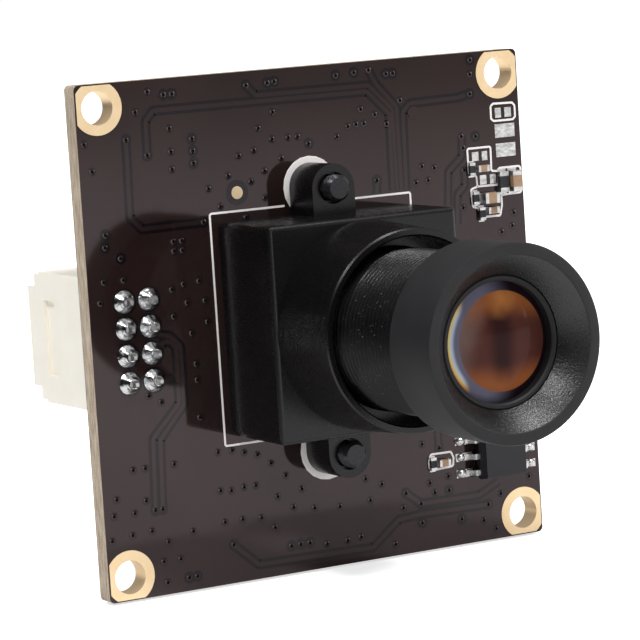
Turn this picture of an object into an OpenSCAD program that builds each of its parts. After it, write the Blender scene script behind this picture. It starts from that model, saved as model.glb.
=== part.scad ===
// Board camera: a square circuit board with a screw-in lens in a moulded holder.
// The board stands upright with the lens pointing along -Y.
// The origin is the centre of the mounting-hole pattern, on the back face of the board.

/* [Board] */
// Width and height of the square circuit board
board_w = 38; // [37:0.5:42]
// Thickness of the board
board_t = 1.6; // [1:0.1:2]
// Radius of the board's corners
board_corner_r = 0.4; // [0.2:0.1:1]
// Thickness of the copper, plating and pads
plating_t = 0.04; // [0.03:0.01:0.06]

/* [Mounting holes] */
// Distance from the centre of a mounting hole to each of the two nearest edges of the board
hole_edge_gap = 1.75; // [1.7:0.05:2.4]
// Finished diameter of a mounting hole
hole_d = 2.5; // [2:0.1:2.8]
// Diameter of the gold pad round a mounting hole
pad_d = 4; // [3.4:0.1:4.2]
// Gap between a clipped pad and the edge of the board
pad_edge_gap = 0.1; // [0.05:0.05:0.3]

/* [Lens holder] */
// Width and height of the holder's square box
holder_w = 16; // [15.6:0.2:17]
// Height of the box above the board
holder_h = 7.6; // [7.2:0.1:8.4]
// Wall of the box
holder_wall = 1.6; // [1.2:0.1:1.8]
// Radius of the box's upright corners
holder_corner_r = 0.5; // [0.2:0.1:1]
// Radius of the box's front edges
holder_edge_r = 0.35; // [0.1:0.05:0.6]
// Outer diameter of the tube where it leaves the box
tube_root_d = 15.5; // [15:0.1:15.5]
// Outer diameter of the tube at its rim
tube_rim_d = 14.9; // [14.6:0.1:15]
// Height of the rim above the board
tube_h = 14.15; // [13:0.05:15]
// Diameter of the open ring between the rim and the lens
recess_d = 13.7; // [13.2:0.1:13.9]
// Depth of that ring
recess_depth = 3; // [1:0.5:4]
// Chamfer round both edges of the rim
rim_chamfer = 0.12; // [0.05:0.01:0.2]

/* [Holder lugs and screws] */
// Distance between the two holder screws
screw_pitch = 20; // [20:0.5:22]
// Width of a lug, which ends in a half circle
lug_w = 3.6; // [3.2:0.1:4.4]
// Height of a lug above the board
lug_h = 3.5; // [2.5:0.1:5]
// Thread diameter of the holder screws
screw_d = 2; // [1.6:0.1:2]
// Length of a screw under its head
screw_len = 6; // [5.6:0.1:8]
// Diameter of a screw's pan head
screw_head_d = 3.8; // [3.2:0.1:4.4]
// Height of a screw's pan head
screw_head_h = 1.3; // [1:0.1:1.6]
// Widening of the lug's hole at its front face
lug_flare = 0.2; // [0.1:0.05:0.3]
// Depth of that widening
lug_flare_depth = 0.7; // [0.3:0.1:1.5]
// Radial gap between a screw and its hole in the board
screw_gap = 0.1; // [0.05:0.05:0.2]

/* [Lens barrel] */
// Diameter of the lens thread
lens_thread_d = 12; // [11.8:0.1:12]
// Radial running gap between the lens thread and the holder
thread_gap = 0.05; // [0.02:0.01:0.1]
// Height of the lens tail above the board
lens_tail_z = 6; // [5.6:0.1:6.6]
// Height of the shoulder behind the lens head
lens_shoulder_z = 21.9; // [21:0.1:23]
// Height of the lens's front face
lens_front_z = 27.2; // [27:0.1:29]
// Diameter of the lens head
lens_head_d = 14; // [13:0.1:15]
// Diameter of the groove behind the shoulder
relief_d = 11.3; // [11:0.1:11.6]
// Width of that groove
relief_w = 0.5; // [0.3:0.1:1]
// Chamfer on the lens head's edges
head_chamfer = 0.15; // [0.05:0.05:0.3]
// Diameter of the funnel's mouth
mouth_d = 12.3; // [11:0.1:12.4]
// Depth of the funnel
funnel_depth = 1.9; // [1.5:0.1:2.4]
// Bore that holds the front elements
front_bore_d = 9.4; // [9.3:0.1:9.8]
// Bore that holds the rear elements
rear_bore_d = 8.6; // [8:0.1:9]
// Thickness of the web between the two bores
web_t = 0.3; // [0.2:0.1:0.5]
// Diameter of the opening in that web
web_d = 4.8; // [4:0.1:5.4]

/* [Glass and rings] */
// Radial gap between an element and its bore
glass_gap = 0.05; // [0.02:0.01:0.1]
// Height of the front retaining ring
front_ring_t = 0.8; // [0.6:0.1:1]
// Opening of the front retaining ring
front_ring_bore_d = 8.52; // [8.2:0.02:8.7]
// Edge thickness of the front element
front_glass_t = 1.7; // [1.2:0.1:2]
// Bulge of the front element's outer face
front_glass_bulge = 0.72; // [0.4:0.02:0.9]
// Thickness of the front spacer
front_spacer_t = 2.1; // [1.6:0.1:2.4]
// Edge thickness of the second element
second_glass_t = 2.4; // [2:0.1:2.8]
// Opening of the front spacer
front_spacer_bore_d = 7.2; // [6.8:0.1:7.6]
// Thickness of the aperture stop
stop_t = 0.15; // [0.1:0.05:0.2]
// Opening of the aperture stop
stop_bore_d = 3.4; // [2:0.1:4]
// Edge thickness of the third element
third_glass_t = 2; // [1.6:0.1:2.4]
// Edge thickness of the fourth element
fourth_glass_t = 1.7; // [1.4:0.1:2]
// Thickness of the rear spacer
rear_spacer_t = 2.4; // [2:0.1:2.8]
// Opening of the rear spacer
rear_spacer_bore_d = 6.6; // [6:0.1:7]
// Edge thickness of the rear element
rear_glass_t = 2.2; // [1.8:0.1:2.6]
// Thickness of the rear retaining ring
rear_ring_t = 1.2; // [0.8:0.1:1.6]
// Opening of the rear retaining ring
rear_ring_bore_d = 6.8; // [6:0.1:7]

/* [Sensor] */
// Width of the image sensor's package
sensor_w = 9.6; // [8:0.1:10.4]
// Thickness of the package
sensor_t = 1.4; // [1:0.1:1.6]
// Width of the light-sensitive chip
die_w = 6; // [4:0.1:6.4]
// Height of the light-sensitive chip
die_h = 4.6; // [3:0.1:5]
// Thickness of the light-sensitive chip
die_t = 0.4; // [0.2:0.05:0.5]
// Width of the cavity that holds the chip
die_pocket_w = 7.2; // [6.8:0.1:7.4]
// Depth of that cavity
die_pocket_depth = 0.9; // [0.7:0.05:0.95]
// Thickness of the sensor's window
window_t = 0.4; // [0.3:0.05:0.6]
// Number of contacts along each side
sensor_contacts = 10; // [6:1:12]
// Thickness of the infrared filter
filter_t = 0.55; // [0.3:0.05:0.7]
// Width of the infrared filter
filter_w = 10.4; // [9.8:0.1:11]
// Width of the opening behind the lens
filter_opening_w = 8.8; // [8:0.1:9.2]
// Height of the ceiling inside the holder
ceiling_z = 4.2; // [3.8:0.1:4.4]
// Thickness of the seat between the ceiling and the thread
seat_t = 0.7; // [0.4:0.1:1]

/* [Connector] */
// Gap between the connector and the board's left edge
connector_edge_gap = 0.6; // [0.2:0.1:1.2]
// Width of the connector across its rows
connector_w = 6.5; // [6.2:0.1:7]
// Height of the connector along its rows
connector_h = 9.9; // [9.6:0.1:11]
// Depth of the connector behind the board
connector_depth = 8.1; // [7.4:0.1:9]
// Wall of the connector
connector_wall = 0.8; // [0.6:0.1:1]
// Thickness of the connector's floor
connector_floor = 2; // [1.5:0.1:2.5]
// Height of the stepped lock wall past the connector's rim
lock_rise = 2.1; // [1.6:0.1:2.6]
// Depth of the lock groove in the outer wall
lock_groove_depth = 0.3; // [0.1:0.05:0.4]
// Number of pins in a row
pins_per_row = 4; // [2:1:4]
// Distance between pins
pin_pitch = 2; // [2:0.05:2.1]
// Width of a square pin
pin_w = 0.5; // [0.4:0.05:0.6]
// Diameter of a pin's hole in the board
pin_hole_d = 0.9; // [0.85:0.05:1.1]
// Length of a pin that shows in front of the board
pin_front = 1.25; // [0.9:0.05:1.6]
// Length of a pin behind the board
pin_back = 6.2; // [5:0.1:7]
// Height of a solder fillet
fillet_h = 0.75; // [0.5:0.05:0.85]
// Diameter of a solder fillet at the board
fillet_d = 1.7; // [1.4:0.05:1.8]

/* [Components] */
// Length of a large chip part
chip_l = 1.6; // [1.4:0.05:1.7]
// Width of a large chip part
chip_w = 0.8; // [0.7:0.05:0.85]
// Length of the middle-sized capacitor
medium_chip_l = 1.3; // [1.2:0.05:1.4]
// Length of a small chip part
small_chip_l = 1; // [0.9:0.05:1.1]
// Width of a small chip part
small_chip_w = 0.5; // [0.4:0.05:0.55]
// Height of a resistor as a share of its width
resistor_rise = 0.55; // [0.4:0.05:0.7]
// Length of a chip part's metal end as a share of its length
chip_end_share = 0.22; // [0.15:0.01:0.28]
// Length of the interface chip
interface_l = 4.9; // [4.6:0.1:5.1]
// Width of the interface chip
interface_w = 3.9; // [3.6:0.1:4]
// Width of the interface chip over its leads
interface_span = 6; // [5.8:0.1:6.2]
// Height of the interface chip
interface_h = 1.6; // [1.3:0.05:1.8]
// Distance between leads of the interface chip
interface_pitch = 1.27; // [1.2:0.01:1.3]
// Width of an interface lead
interface_lead_w = 0.42; // [0.35:0.01:0.5]
// Width of the square processor
processor_w = 7; // [6.4:0.1:7.4]
// Width of the processor over its leads
processor_span = 9; // [8.6:0.1:9.2]
// Height of the processor
processor_h = 1.4; // [1:0.05:1.6]
// Number of leads on each side of the processor
processor_leads_per_side = 12; // [8:1:12]
// Distance between leads of the processor
processor_pitch = 0.5; // [0.45:0.01:0.52]
// Width of a processor lead
processor_lead_w = 0.22; // [0.18:0.01:0.26]
// Width of the square power inductor
inductor_w = 3; // [2.6:0.1:3.4]
// Height of the power inductor
inductor_h = 1.5; // [1:0.1:1.8]
// Width of the crystal's metal can
crystal_w = 3.2; // [2.8:0.1:3.4]
// Length of the crystal's metal can
crystal_l = 5; // [4.6:0.1:5.4]
// Height of the crystal
crystal_h = 1.1; // [0.8:0.1:1.3]

/* [Hidden] */
$fn = 72;

// Colours
ink_black = [0.10, 0.10, 0.11];
anodised = [0.20, 0.19, 0.21];
solder_mask = [0.23, 0.17, 0.18];
gold = [0.90, 0.76, 0.45];
tin = [0.80, 0.80, 0.78];
ivory = [0.93, 0.91, 0.86];
glass_tint = [0.55, 0.36, 0.24];
clear_tint = [0.70, 0.78, 0.82];

// Places on the board, from its edges where a part belongs to an edge
edge = board_w / 2;
hole_at = edge - hole_edge_gap;
connector_x = -edge + connector_edge_gap + connector_w / 2;

inner_w = holder_w - 2 * holder_wall;

// Lens barrel
thread_r = lens_thread_d / 2;
holder_bore_r = thread_r + thread_gap;
funnel_z = lens_front_z - funnel_depth;
front_r = front_bore_d / 2;
rear_r = rear_bore_d / 2;

// Stack in front of the web, counted back from the front retaining ring
front_glass_top = funnel_z - front_ring_t;
front_glass_z = front_glass_top - front_glass_t;
front_spacer_z = front_glass_z - front_spacer_t;
second_glass_z = front_spacer_z - second_glass_t;
stop_z = second_glass_z - stop_t;
web_top = stop_z;
web_z = web_top - web_t;

// Stack behind the web, counted back from it
third_glass_z = web_z - third_glass_t;
fourth_glass_z = third_glass_z - fourth_glass_t;
rear_spacer_z = fourth_glass_z - rear_spacer_t;
rear_glass_z = rear_spacer_z - rear_glass_t;
rear_ring_z = rear_glass_z - rear_ring_t;

// A place on a board face is [x, y, 1 when the part stands upright]. Parts near the edges are
// listed as [side, side, gap to that upright edge, gap to that level edge, upright], where the
// sides are 1 for right or top and -1 for left or bottom.
function from_edges(list) = [for (p = list) [p[0] * (edge - p[2]), p[1] * (edge - p[3]), p[4]]];

// Chip parts of one size at several places: [place, length, width]
function sized(places, l, w) = [for (p = places) [p, l, w]];

front_large_capacitors = [[1, 1, 0.98, 10.2, 1]];
front_medium_capacitors = [[1, 1, 3.35, 11.32, 0]];
front_small_capacitors = [[1, 1, 3.8, 9, 0], [1, 1, 3.1, 12.3, 0], [1, -1, 8.9, 6.65, 0]];
front_large_resistors = [[1, 1, 1.95, 10.2, 1]];
front_small_resistors = [[1, 1, 4.7, 9, 1], [1, 1, 4.5, 11.25, 1], [1, 1, 4, 12.5, 1], [1, -1, 9.8, 6.65, 1]];
front_capacitors = concat(
    sized(from_edges(front_large_capacitors), chip_l, chip_w),
    sized(from_edges(front_medium_capacitors), medium_chip_l, chip_w),
    sized(from_edges(front_small_capacitors), small_chip_l, small_chip_w)
);
front_resistors = concat(
    sized(from_edges(front_large_resistors), chip_l, chip_w),
    sized(from_edges(front_small_resistors), small_chip_l, small_chip_w)
);

// Bare footprints on the front, all near the top right corner: [gap right, gap above, width, height]
bare_pads = [
    [1.95, 4.85, 0.55, 0.75], [1.05, 4.85, 0.6, 0.75], [1.42, 6.25, 1.8, 1.05], [1.42, 7.75, 1.8, 1.05],
    [4.25, 8.05, 0.6, 0.7], [3.4, 8.05, 0.5, 0.7], [3.65, 9.9, 0.6, 0.72], [2.75, 9.9, 0.55, 0.72]
];
interface_gaps = [[1, -1, 4, 7.45, 0]];
interface_at = from_edges(interface_gaps)[0];
interface_pad_l = 1.5;
interface_pad_gap = 0.1;
middle_fiducials = [[-6.25, 10.1, 0]];
edge_fiducials = [[1, 1, 9.6, 4.2, 0]];
fiducial_places = concat(middle_fiducials, from_edges(edge_fiducials));
fiducial_d = 0.95;

// Room under a moulded chip, and where its waist lies in its height
chip_lift = 0.12;
waist_share = 0.45;
regulator_l = 2.9;
regulator_w = 1.6;
regulator_h = 1.1;
regulator_pitch = 0.95;

// Parts on the back
crystal_base_share = 0.4;
crystal_corner_r = 0.4;
inductor_corner_r = 0.4;
processor_at = [3, 0, 0];
crystal_gaps = [[1, 1, 6.8, 17.5, 0]];
crystal_at = from_edges(crystal_gaps)[0];
inductor_gaps = [[-1, -1, 10.5, 7.5, 0]];
inductor_at = from_edges(inductor_gaps)[0];
regulator_gaps = [[-1, 1, 10.5, 7.5, 0], [1, -1, 9.5, 7.5, 0]];
regulator_places = from_edges(regulator_gaps);
edge_back_capacitors = [
    [-1, 1, 13.6, 7.5, 1], [-1, 1, 6.7, 7.5, 1], [-1, -1, 14, 7.5, 1], [-1, -1, 6.8, 7.5, 1],
    [1, -1, 9.3, 15.4, 1], [1, -1, 6.1, 7.5, 1]
];
middle_back_capacitors = [[3, 6.5, 0], [5.6, 6.5, 0]];
back_capacitors = sized(concat(from_edges(edge_back_capacitors), middle_back_capacitors), chip_l, chip_w);
edge_back_resistors = [[1, 1, 9.3, 18.6, 1]];
middle_back_resistors = [[-3.6, 3, 1], [-3.6, -3, 1], [3, -6.5, 0], [0.4, 6.5, 0]];
back_resistors = sized(concat(from_edges(edge_back_resistors), middle_back_resistors), small_chip_l, small_chip_w);

// How far each glass face bulges, or is hollow when negative: [towards the sensor, towards the front]
front_glass_sags = [-0.9, front_glass_bulge];
second_glass_sags = [-0.7, 0.6];
third_glass_sags = [-0.6, -0.3];
fourth_glass_sags = [0.5, 0.6];
rear_glass_sags = [0.4, 0.5];

// ---------- general shapes ----------

// Stands a child drawn flat on the board up, so that its height points along -Y
module upright() {
    rotate([90, 0, 0]) children();
}

// Puts a child on the front face of the board
module on_front() {
    upright() translate([0, 0, board_t]) children();
}

// Puts a child on the back face of the board, where its height points along +Y
module on_back() {
    upright() mirror([0, 0, 1]) children();
}

module rounded_rect(w, h, r) {
    square([w - 2 * r, h], center = true);
    square([w, h - 2 * r], center = true);
    for (x = [-1, 1], y = [-1, 1])
        translate([x * (w / 2 - r), y * (h / 2 - r)]) circle(r);
}

// Side view of a block whose two top edges are rounded
module round_top_profile(w, h, r) {
    translate([-w / 2, 0]) square([w, h - r]);
    translate([-w / 2 + r, 0]) square([w - 2 * r, h]);
    for (x = [-1, 1])
        translate([x * (w / 2 - r), h - r]) circle(r);
}

// Block with rounded upright corners and rounded top edges
module rounded_block(w, h, corner_r, edge_r) {
    intersection() {
        linear_extrude(h) rounded_rect(w, w, corner_r);
        rotate([90, 0, 0]) linear_extrude(w + 1, center = true) round_top_profile(w, h, edge_r);
        rotate([90, 0, 90]) linear_extrude(w + 1, center = true) round_top_profile(w, h, edge_r);
    }
}

module ring(outer_r, inner_r, t) {
    difference() {
        cylinder(r = outer_r, h = t);
        translate([0, 0, -1]) cylinder(r = inner_r, h = t + 2);
    }
}

// Radius of the ball whose cap has a given opening radius and height
function ball_r(c, s) = (c * c + s * s) / (2 * s);

// Round glass from z0 to z1 at its flat rim; a face bulges for a positive sag and is hollow
// for a negative one, over the clear radius c
module lens_element(r, z0, z1, c, sags) {
    back_sag = sags[0];
    front_sag = sags[1];
    difference() {
        union() {
            translate([0, 0, z0]) cylinder(r = r, h = z1 - z0);
            if (front_sag > 0) translate([0, 0, z1]) glass_cap(c, front_sag, z1 - z0);
            if (back_sag > 0) translate([0, 0, z0]) mirror([0, 0, 1]) glass_cap(c, back_sag, z1 - z0);
        }
        if (front_sag < 0) translate([0, 0, z1 + ball_r(c, -front_sag) + front_sag])
            sphere(ball_r(c, -front_sag));
        if (back_sag < 0) translate([0, 0, z0 - ball_r(c, -back_sag) - back_sag])
            sphere(ball_r(c, -back_sag));
    }
}

module glass_cap(c, s, root) {
    intersection() {
        translate([0, 0, s - ball_r(c, s)]) sphere(ball_r(c, s));
        translate([0, 0, -root / 2]) cylinder(r = c, h = root / 2 + s + 1);
    }
}

// ---------- board ----------

module at_mounting_holes() {
    for (x = [-1, 1], y = [-1, 1]) translate([x * hole_at, y * hole_at, 0]) children();
}

module at_holder_screws() {
    for (y = [-1, 1]) translate([0, y * screw_pitch / 2, 0]) children();
}

module at_pins() {
    for (x = [-1, 1], i = [0 : pins_per_row - 1])
        translate([connector_x + x * pin_pitch / 2, (i - (pins_per_row - 1) / 2) * pin_pitch, 0])
            children();
}

module circuit_board() {
    color(solder_mask) upright() difference() {
        linear_extrude(board_t) rounded_rect(board_w, board_w, board_corner_r);
        translate([0, 0, -1]) {
            at_mounting_holes() cylinder(d = hole_d + 2 * plating_t, h = board_t + 2);
            at_holder_screws() cylinder(r = screw_d / 2 + screw_gap, h = board_t + 2);
            at_pins() cylinder(d = pin_hole_d, h = board_t + 2);
        }
    }
}

// Gold pads on both faces, joined by the plated wall of each hole
module plated_holes() {
    limit = board_w - 2 * pad_edge_gap;
    color(gold) upright() difference() {
        union() {
            at_mounting_holes()
                translate([0, 0, -plating_t / 2]) cylinder(d = hole_d + 2 * plating_t, h = board_t + plating_t);
            for (z = [-plating_t, board_t])
                translate([0, 0, z]) intersection() {
                    at_mounting_holes() cylinder(d = pad_d, h = plating_t);
                    translate([-limit / 2, -limit / 2, -1]) cube([limit, limit, 2]);
                }
        }
        at_mounting_holes() translate([0, 0, -1]) cylinder(d = hole_d, h = board_t + 2);
    }
}

module tinned_pads() {
    color(tin) on_front() {
        for (p = bare_pads) translate([edge - p[0], edge - p[1], 0]) flat_pad(p[2], p[3]);
        for (c = concat(front_capacitors, front_resistors)) at_place(c[0]) chip_pads(c[1], c[2]);
        at_place(interface_at) for (x = [-1, 1], i = [-1.5 : 1 : 1.5])
            translate([x * (interface_span / 2 - interface_pad_gap), i * interface_pitch, 0])
                flat_pad(interface_pad_l, interface_lead_w + 0.2);
    }
}

module fiducials() {
    color(gold) on_front()
        for (p = fiducial_places) at_place(p) cylinder(d = fiducial_d, h = plating_t);
}

// ---------- lens holder ----------

module lug() {
    translate([-lug_w / 2, 0, 0]) cube([lug_w, screw_pitch / 2, lug_h]);
    translate([0, screw_pitch / 2, 0]) cylinder(d = lug_w, h = lug_h);
}

// Tube that tapers from the box to its rim
module tube_skin() {
    rotate_extrude() polygon([
        [0, holder_h - 1], [tube_root_d / 2, holder_h - 1], [tube_root_d / 2, holder_h],
        [tube_rim_d / 2, tube_h - rim_chamfer], [tube_rim_d / 2 - rim_chamfer, tube_h], [0, tube_h]
    ]);
}

// Room inside the holder: the sensor's room, the light opening, the thread and the open ring
module holder_room() {
    translate([-inner_w / 2, -inner_w / 2, -1]) cube([inner_w, inner_w, ceiling_z + 1]);
    translate([-filter_opening_w / 2, -filter_opening_w / 2, 0])
        cube([filter_opening_w, filter_opening_w, ceiling_z + seat_t + 1]);
    translate([0, 0, ceiling_z + seat_t]) cylinder(r = holder_bore_r, h = tube_h);
    translate([0, 0, tube_h - recess_depth]) cylinder(d = recess_d, h = recess_depth + 1);
    translate([0, 0, tube_h - rim_chamfer])
        cylinder(d1 = recess_d, d2 = recess_d + 4 * rim_chamfer, h = 2 * rim_chamfer);
}

module lens_holder() {
    color(ink_black) on_front() difference() {
        union() {
            rounded_block(holder_w, holder_h, holder_corner_r, holder_edge_r);
            tube_skin();
            lug();
            mirror([0, 1, 0]) lug();
        }
        holder_room();
        at_holder_screws() {
            translate([0, 0, -1]) cylinder(d = screw_d, h = lug_h + 2);
            translate([0, 0, lug_h - lug_flare_depth])
                cylinder(d = screw_d + 2 * lug_flare, h = lug_flare_depth + 1);
        }
    }
}

// Pan-head screws put in from the back, with a cross recess and a chamfered tip
module holder_screws() {
    recess_w = 0.5;
    recess_l = 2.2;
    recess_deep = 0.6;
    tip = 0.35;
    color(ink_black) upright() at_holder_screws() difference() {
        rotate_extrude() polygon([
            [0, -screw_head_h], [screw_head_d / 2 - 0.4, -screw_head_h],
            [screw_head_d / 2, -screw_head_h + 0.4], [screw_head_d / 2, 0],
            [screw_d / 2, 0], [screw_d / 2, screw_len - tip], [screw_d / 2 - tip, screw_len], [0, screw_len]
        ]);
        for (turn = [0, 90])
            rotate([0, 0, turn]) translate([-recess_l / 2, -recess_w / 2, -screw_head_h - 1])
                cube([recess_l, recess_w, recess_deep + 1]);
    }
}

// ---------- lens ----------

module lens_barrel() {
    tail_chamfer = 0.3;
    head_r = lens_head_d / 2;
    color(anodised) on_front() rotate_extrude() polygon([
        [rear_r, lens_tail_z], [thread_r - tail_chamfer, lens_tail_z],
        [thread_r, lens_tail_z + tail_chamfer], [thread_r, lens_shoulder_z - relief_w],
        [relief_d / 2, lens_shoulder_z - relief_w], [relief_d / 2, lens_shoulder_z],
        [head_r - head_chamfer, lens_shoulder_z], [head_r, lens_shoulder_z + head_chamfer],
        [head_r, lens_front_z - head_chamfer], [head_r - head_chamfer, lens_front_z],
        [mouth_d / 2, lens_front_z], [front_r, funnel_z],
        [front_r, web_top], [web_d / 2, web_top], [web_d / 2, web_z], [rear_r, web_z]
    ]);
}

module front_retaining_ring() {
    inner_r = front_ring_bore_d / 2;
    round_r = 0.12;
    color(anodised) on_front() rotate_extrude() polygon([
        [inner_r, front_glass_top], [front_r, front_glass_top], [front_r, funnel_z - round_r],
        [front_r - round_r, funnel_z], [inner_r + round_r, funnel_z], [inner_r, funnel_z - round_r]
    ]);
}

module front_glass() {
    color(glass_tint) on_front()
        lens_element(front_r - glass_gap, front_glass_z, front_glass_top,
                     front_ring_bore_d / 2 - glass_gap, front_glass_sags);
}

module front_spacer() {
    color(anodised) on_front() translate([0, 0, front_spacer_z])
        ring(front_r, front_spacer_bore_d / 2, front_spacer_t);
}

module second_glass() {
    color(clear_tint) on_front()
        lens_element(front_r - glass_gap, second_glass_z, front_spacer_z,
                     front_spacer_bore_d / 2 - glass_gap, second_glass_sags);
}

module aperture_stop() {
    color(anodised) on_front() translate([0, 0, stop_z]) ring(front_r, stop_bore_d / 2, stop_t);
}

module third_glass() {
    color(clear_tint) on_front()
        lens_element(rear_r - glass_gap, third_glass_z, web_z, rear_spacer_bore_d / 2, third_glass_sags);
}

module fourth_glass() {
    color(clear_tint) on_front()
        lens_element(rear_r - glass_gap, fourth_glass_z, third_glass_z, rear_spacer_bore_d / 2, fourth_glass_sags);
}

module rear_spacer() {
    color(anodised) on_front() translate([0, 0, rear_spacer_z])
        ring(rear_r, rear_spacer_bore_d / 2, rear_spacer_t);
}

module rear_glass() {
    color(clear_tint) on_front()
        lens_element(rear_r - glass_gap, rear_glass_z, rear_spacer_z,
                     rear_spacer_bore_d / 2 - glass_gap, rear_glass_sags);
}

module rear_retaining_ring() {
    color(anodised) on_front() translate([0, 0, rear_ring_z])
        ring(rear_r, rear_ring_bore_d / 2, rear_ring_t);
}

// ---------- image sensor ----------

module image_sensor() {
    color(ink_black) on_front() difference() {
        translate([-sensor_w / 2, -sensor_w / 2, 0]) cube([sensor_w, sensor_w, sensor_t]);
        translate([-die_pocket_w / 2, -die_pocket_w / 2, sensor_t - die_pocket_depth])
            cube([die_pocket_w, die_pocket_w, die_pocket_depth + 1]);
    }
}

module sensor_chip() {
    color([0.30, 0.42, 0.36]) on_front()
        translate([-die_w / 2, -die_h / 2, sensor_t - die_pocket_depth]) cube([die_w, die_h, die_t]);
}

module sensor_window() {
    side = (sensor_w + die_pocket_w) / 2;
    color(clear_tint) on_front()
        translate([-side / 2, -side / 2, sensor_t]) cube([side, side, window_t]);
}

// Gold contacts that climb the package's sides
module sensor_contacts_gold() {
    end_gap = 0.8;
    step = (sensor_w - 2 * end_gap) / (sensor_contacts - 1);
    contact_w = 0.4;
    contact_t = 0.12;
    color(gold) on_front()
        for (turn = [0, 90, 180, 270], i = [0 : sensor_contacts - 1])
            rotate([0, 0, turn])
                translate([-sensor_w / 2 + end_gap + i * step - contact_w / 2, sensor_w / 2, 0])
                    cube([contact_w, contact_t, sensor_t / 2]);
}

module infrared_filter() {
    color([0.62, 0.80, 0.78]) on_front()
        translate([-filter_w / 2, -filter_w / 2, ceiling_z - filter_t]) cube([filter_w, filter_w, filter_t]);
}

// ---------- connector ----------

// Open box behind the board, with a stepped lock wall on its outer side
module connector_housing() {
    low_step_h = connector_h - 0.4;
    high_step_h = connector_h - 2.3;
    low_step = lock_rise * 0.4;
    slot_w = 3;
    slot_depth = 3.2;
    groove_h = connector_h * 0.57;
    groove_w = 1.8;
    groove_drop = 2.4;
    outer_x = connector_x - connector_w / 2;
    room_w = connector_w - 2 * connector_wall;
    room_h = connector_h - 2 * connector_wall;
    color(ivory) on_back() difference() {
        union() {
            translate([outer_x, -connector_h / 2, 0]) cube([connector_w, connector_h, connector_depth]);
            translate([outer_x, -low_step_h / 2, 0])
                cube([connector_wall, low_step_h, connector_depth + low_step]);
            translate([outer_x, -high_step_h / 2, 0])
                cube([connector_wall, high_step_h, connector_depth + lock_rise]);
        }
        translate([outer_x + connector_wall, -room_h / 2, connector_floor])
            cube([room_w, room_h, connector_depth + 1]);
        // Slot in the inner wall for the plug's key
        translate([outer_x + connector_w - connector_wall - 1, -slot_w / 2, connector_depth - slot_depth])
            cube([connector_wall + 2, slot_w, slot_depth + 1]);
        // Lock groove in the outer wall
        translate([outer_x - 1, -groove_h / 2, connector_depth - groove_drop])
            cube([1 + lock_groove_depth, groove_h, groove_w]);
        at_pins() translate([-pin_w / 2, -pin_w / 2, -1]) cube([pin_w, pin_w, connector_floor + 2]);
    }
}

module connector_pins() {
    tip = 0.3;
    half = pin_w / 2;
    flat = half - 0.12;
    long = pin_back + board_t + pin_front;
    side = [[-half, tip], [-flat, 0], [flat, 0], [half, tip],
            [half, long - tip], [flat, long], [-flat, long], [-half, long - tip]];
    color(tin) upright() at_pins() translate([0, 0, -pin_back]) intersection() {
        rotate([90, 0, 0]) linear_extrude(pin_w, center = true) polygon(side);
        rotate([90, 0, 90]) linear_extrude(pin_w, center = true) polygon(side);
    }
}

// Solder that rises from the board round each pin
module solder_fillets() {
    foot = fillet_d / 2;
    top = pin_w * 0.72;
    color(tin) on_front() at_pins() difference() {
        rotate_extrude() polygon([
            [0, 0], [foot, 0], [foot * 0.88, fillet_h * 0.2], [top + (foot - top) * 0.4, fillet_h * 0.5],
            [top + (foot - top) * 0.12, fillet_h * 0.8], [top, fillet_h], [0, fillet_h]
        ]);
        translate([-pin_w / 2, -pin_w / 2, -1]) cube([pin_w, pin_w, fillet_h + 2]);
    }
}

// ---------- components ----------

module at_place(place) {
    translate([place[0], place[1], 0]) rotate([0, 0, 90 * place[2]]) children();
}

module flat_pad(w, h) {
    translate([0, 0, plating_t / 2]) cube([w, h, plating_t], center = true);
}

// Pads under both ends of a chip part
module chip_pads(l, w) {
    for (x = [-1, 1]) translate([x * l * 0.45, 0, 0]) flat_pad(l * 0.35, w);
}

// Middle of a chip part, between its ends
module chip_middle(l, w, h) {
    middle_l = l * (1 - 2 * chip_end_share);
    translate([-middle_l / 2, -w / 2, plating_t]) cube([middle_l, w, h]);
}

// Metal ends of a chip part
module chip_ends(l, w, h) {
    end_l = l * chip_end_share;
    for (x = [-1, 1])
        translate([x * (l - end_l) / 2, 0, plating_t + h / 2]) cube([end_l, w, h], center = true);
}

module chip_capacitors() {
    color([0.72, 0.58, 0.45]) {
        on_front() for (c = front_capacitors) at_place(c[0]) chip_middle(c[1], c[2], c[2]);
        on_back() for (c = back_capacitors) at_place(c[0]) chip_middle(c[1], c[2], c[2]);
    }
}

module chip_capacitor_ends() {
    color(tin) {
        on_front() for (c = front_capacitors) at_place(c[0]) chip_ends(c[1], c[2], c[2]);
        on_back() for (c = back_capacitors) at_place(c[0]) chip_ends(c[1], c[2], c[2]);
    }
}

module chip_resistors() {
    color(ink_black) {
        on_front() for (c = front_resistors) at_place(c[0]) chip_middle(c[1], c[2], c[2] * resistor_rise);
        on_back() for (c = back_resistors) at_place(c[0]) chip_middle(c[1], c[2], c[2] * resistor_rise);
    }
}

module chip_resistor_ends() {
    color(tin) {
        on_front() for (c = front_resistors) at_place(c[0]) chip_ends(c[1], c[2], c[2] * resistor_rise);
        on_back() for (c = back_resistors) at_place(c[0]) chip_ends(c[1], c[2], c[2] * resistor_rise);
    }
}

// Height of a moulded chip's waist, where its leads come out
function waist_at(z0, z1) = z0 + (z1 - z0) * waist_share;

// Side view of a moulded chip: straight at its waist and drawn in above and below
module moulded_profile(w, z0, z1) {
    waist = waist_at(z0, z1);
    draft = (z1 - z0) * 0.1;
    polygon([[-w / 2 + draft, z0], [w / 2 - draft, z0], [w / 2, waist],
             [w / 2 - draft, z1], [-w / 2 + draft, z1], [-w / 2, waist]]);
}

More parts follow.
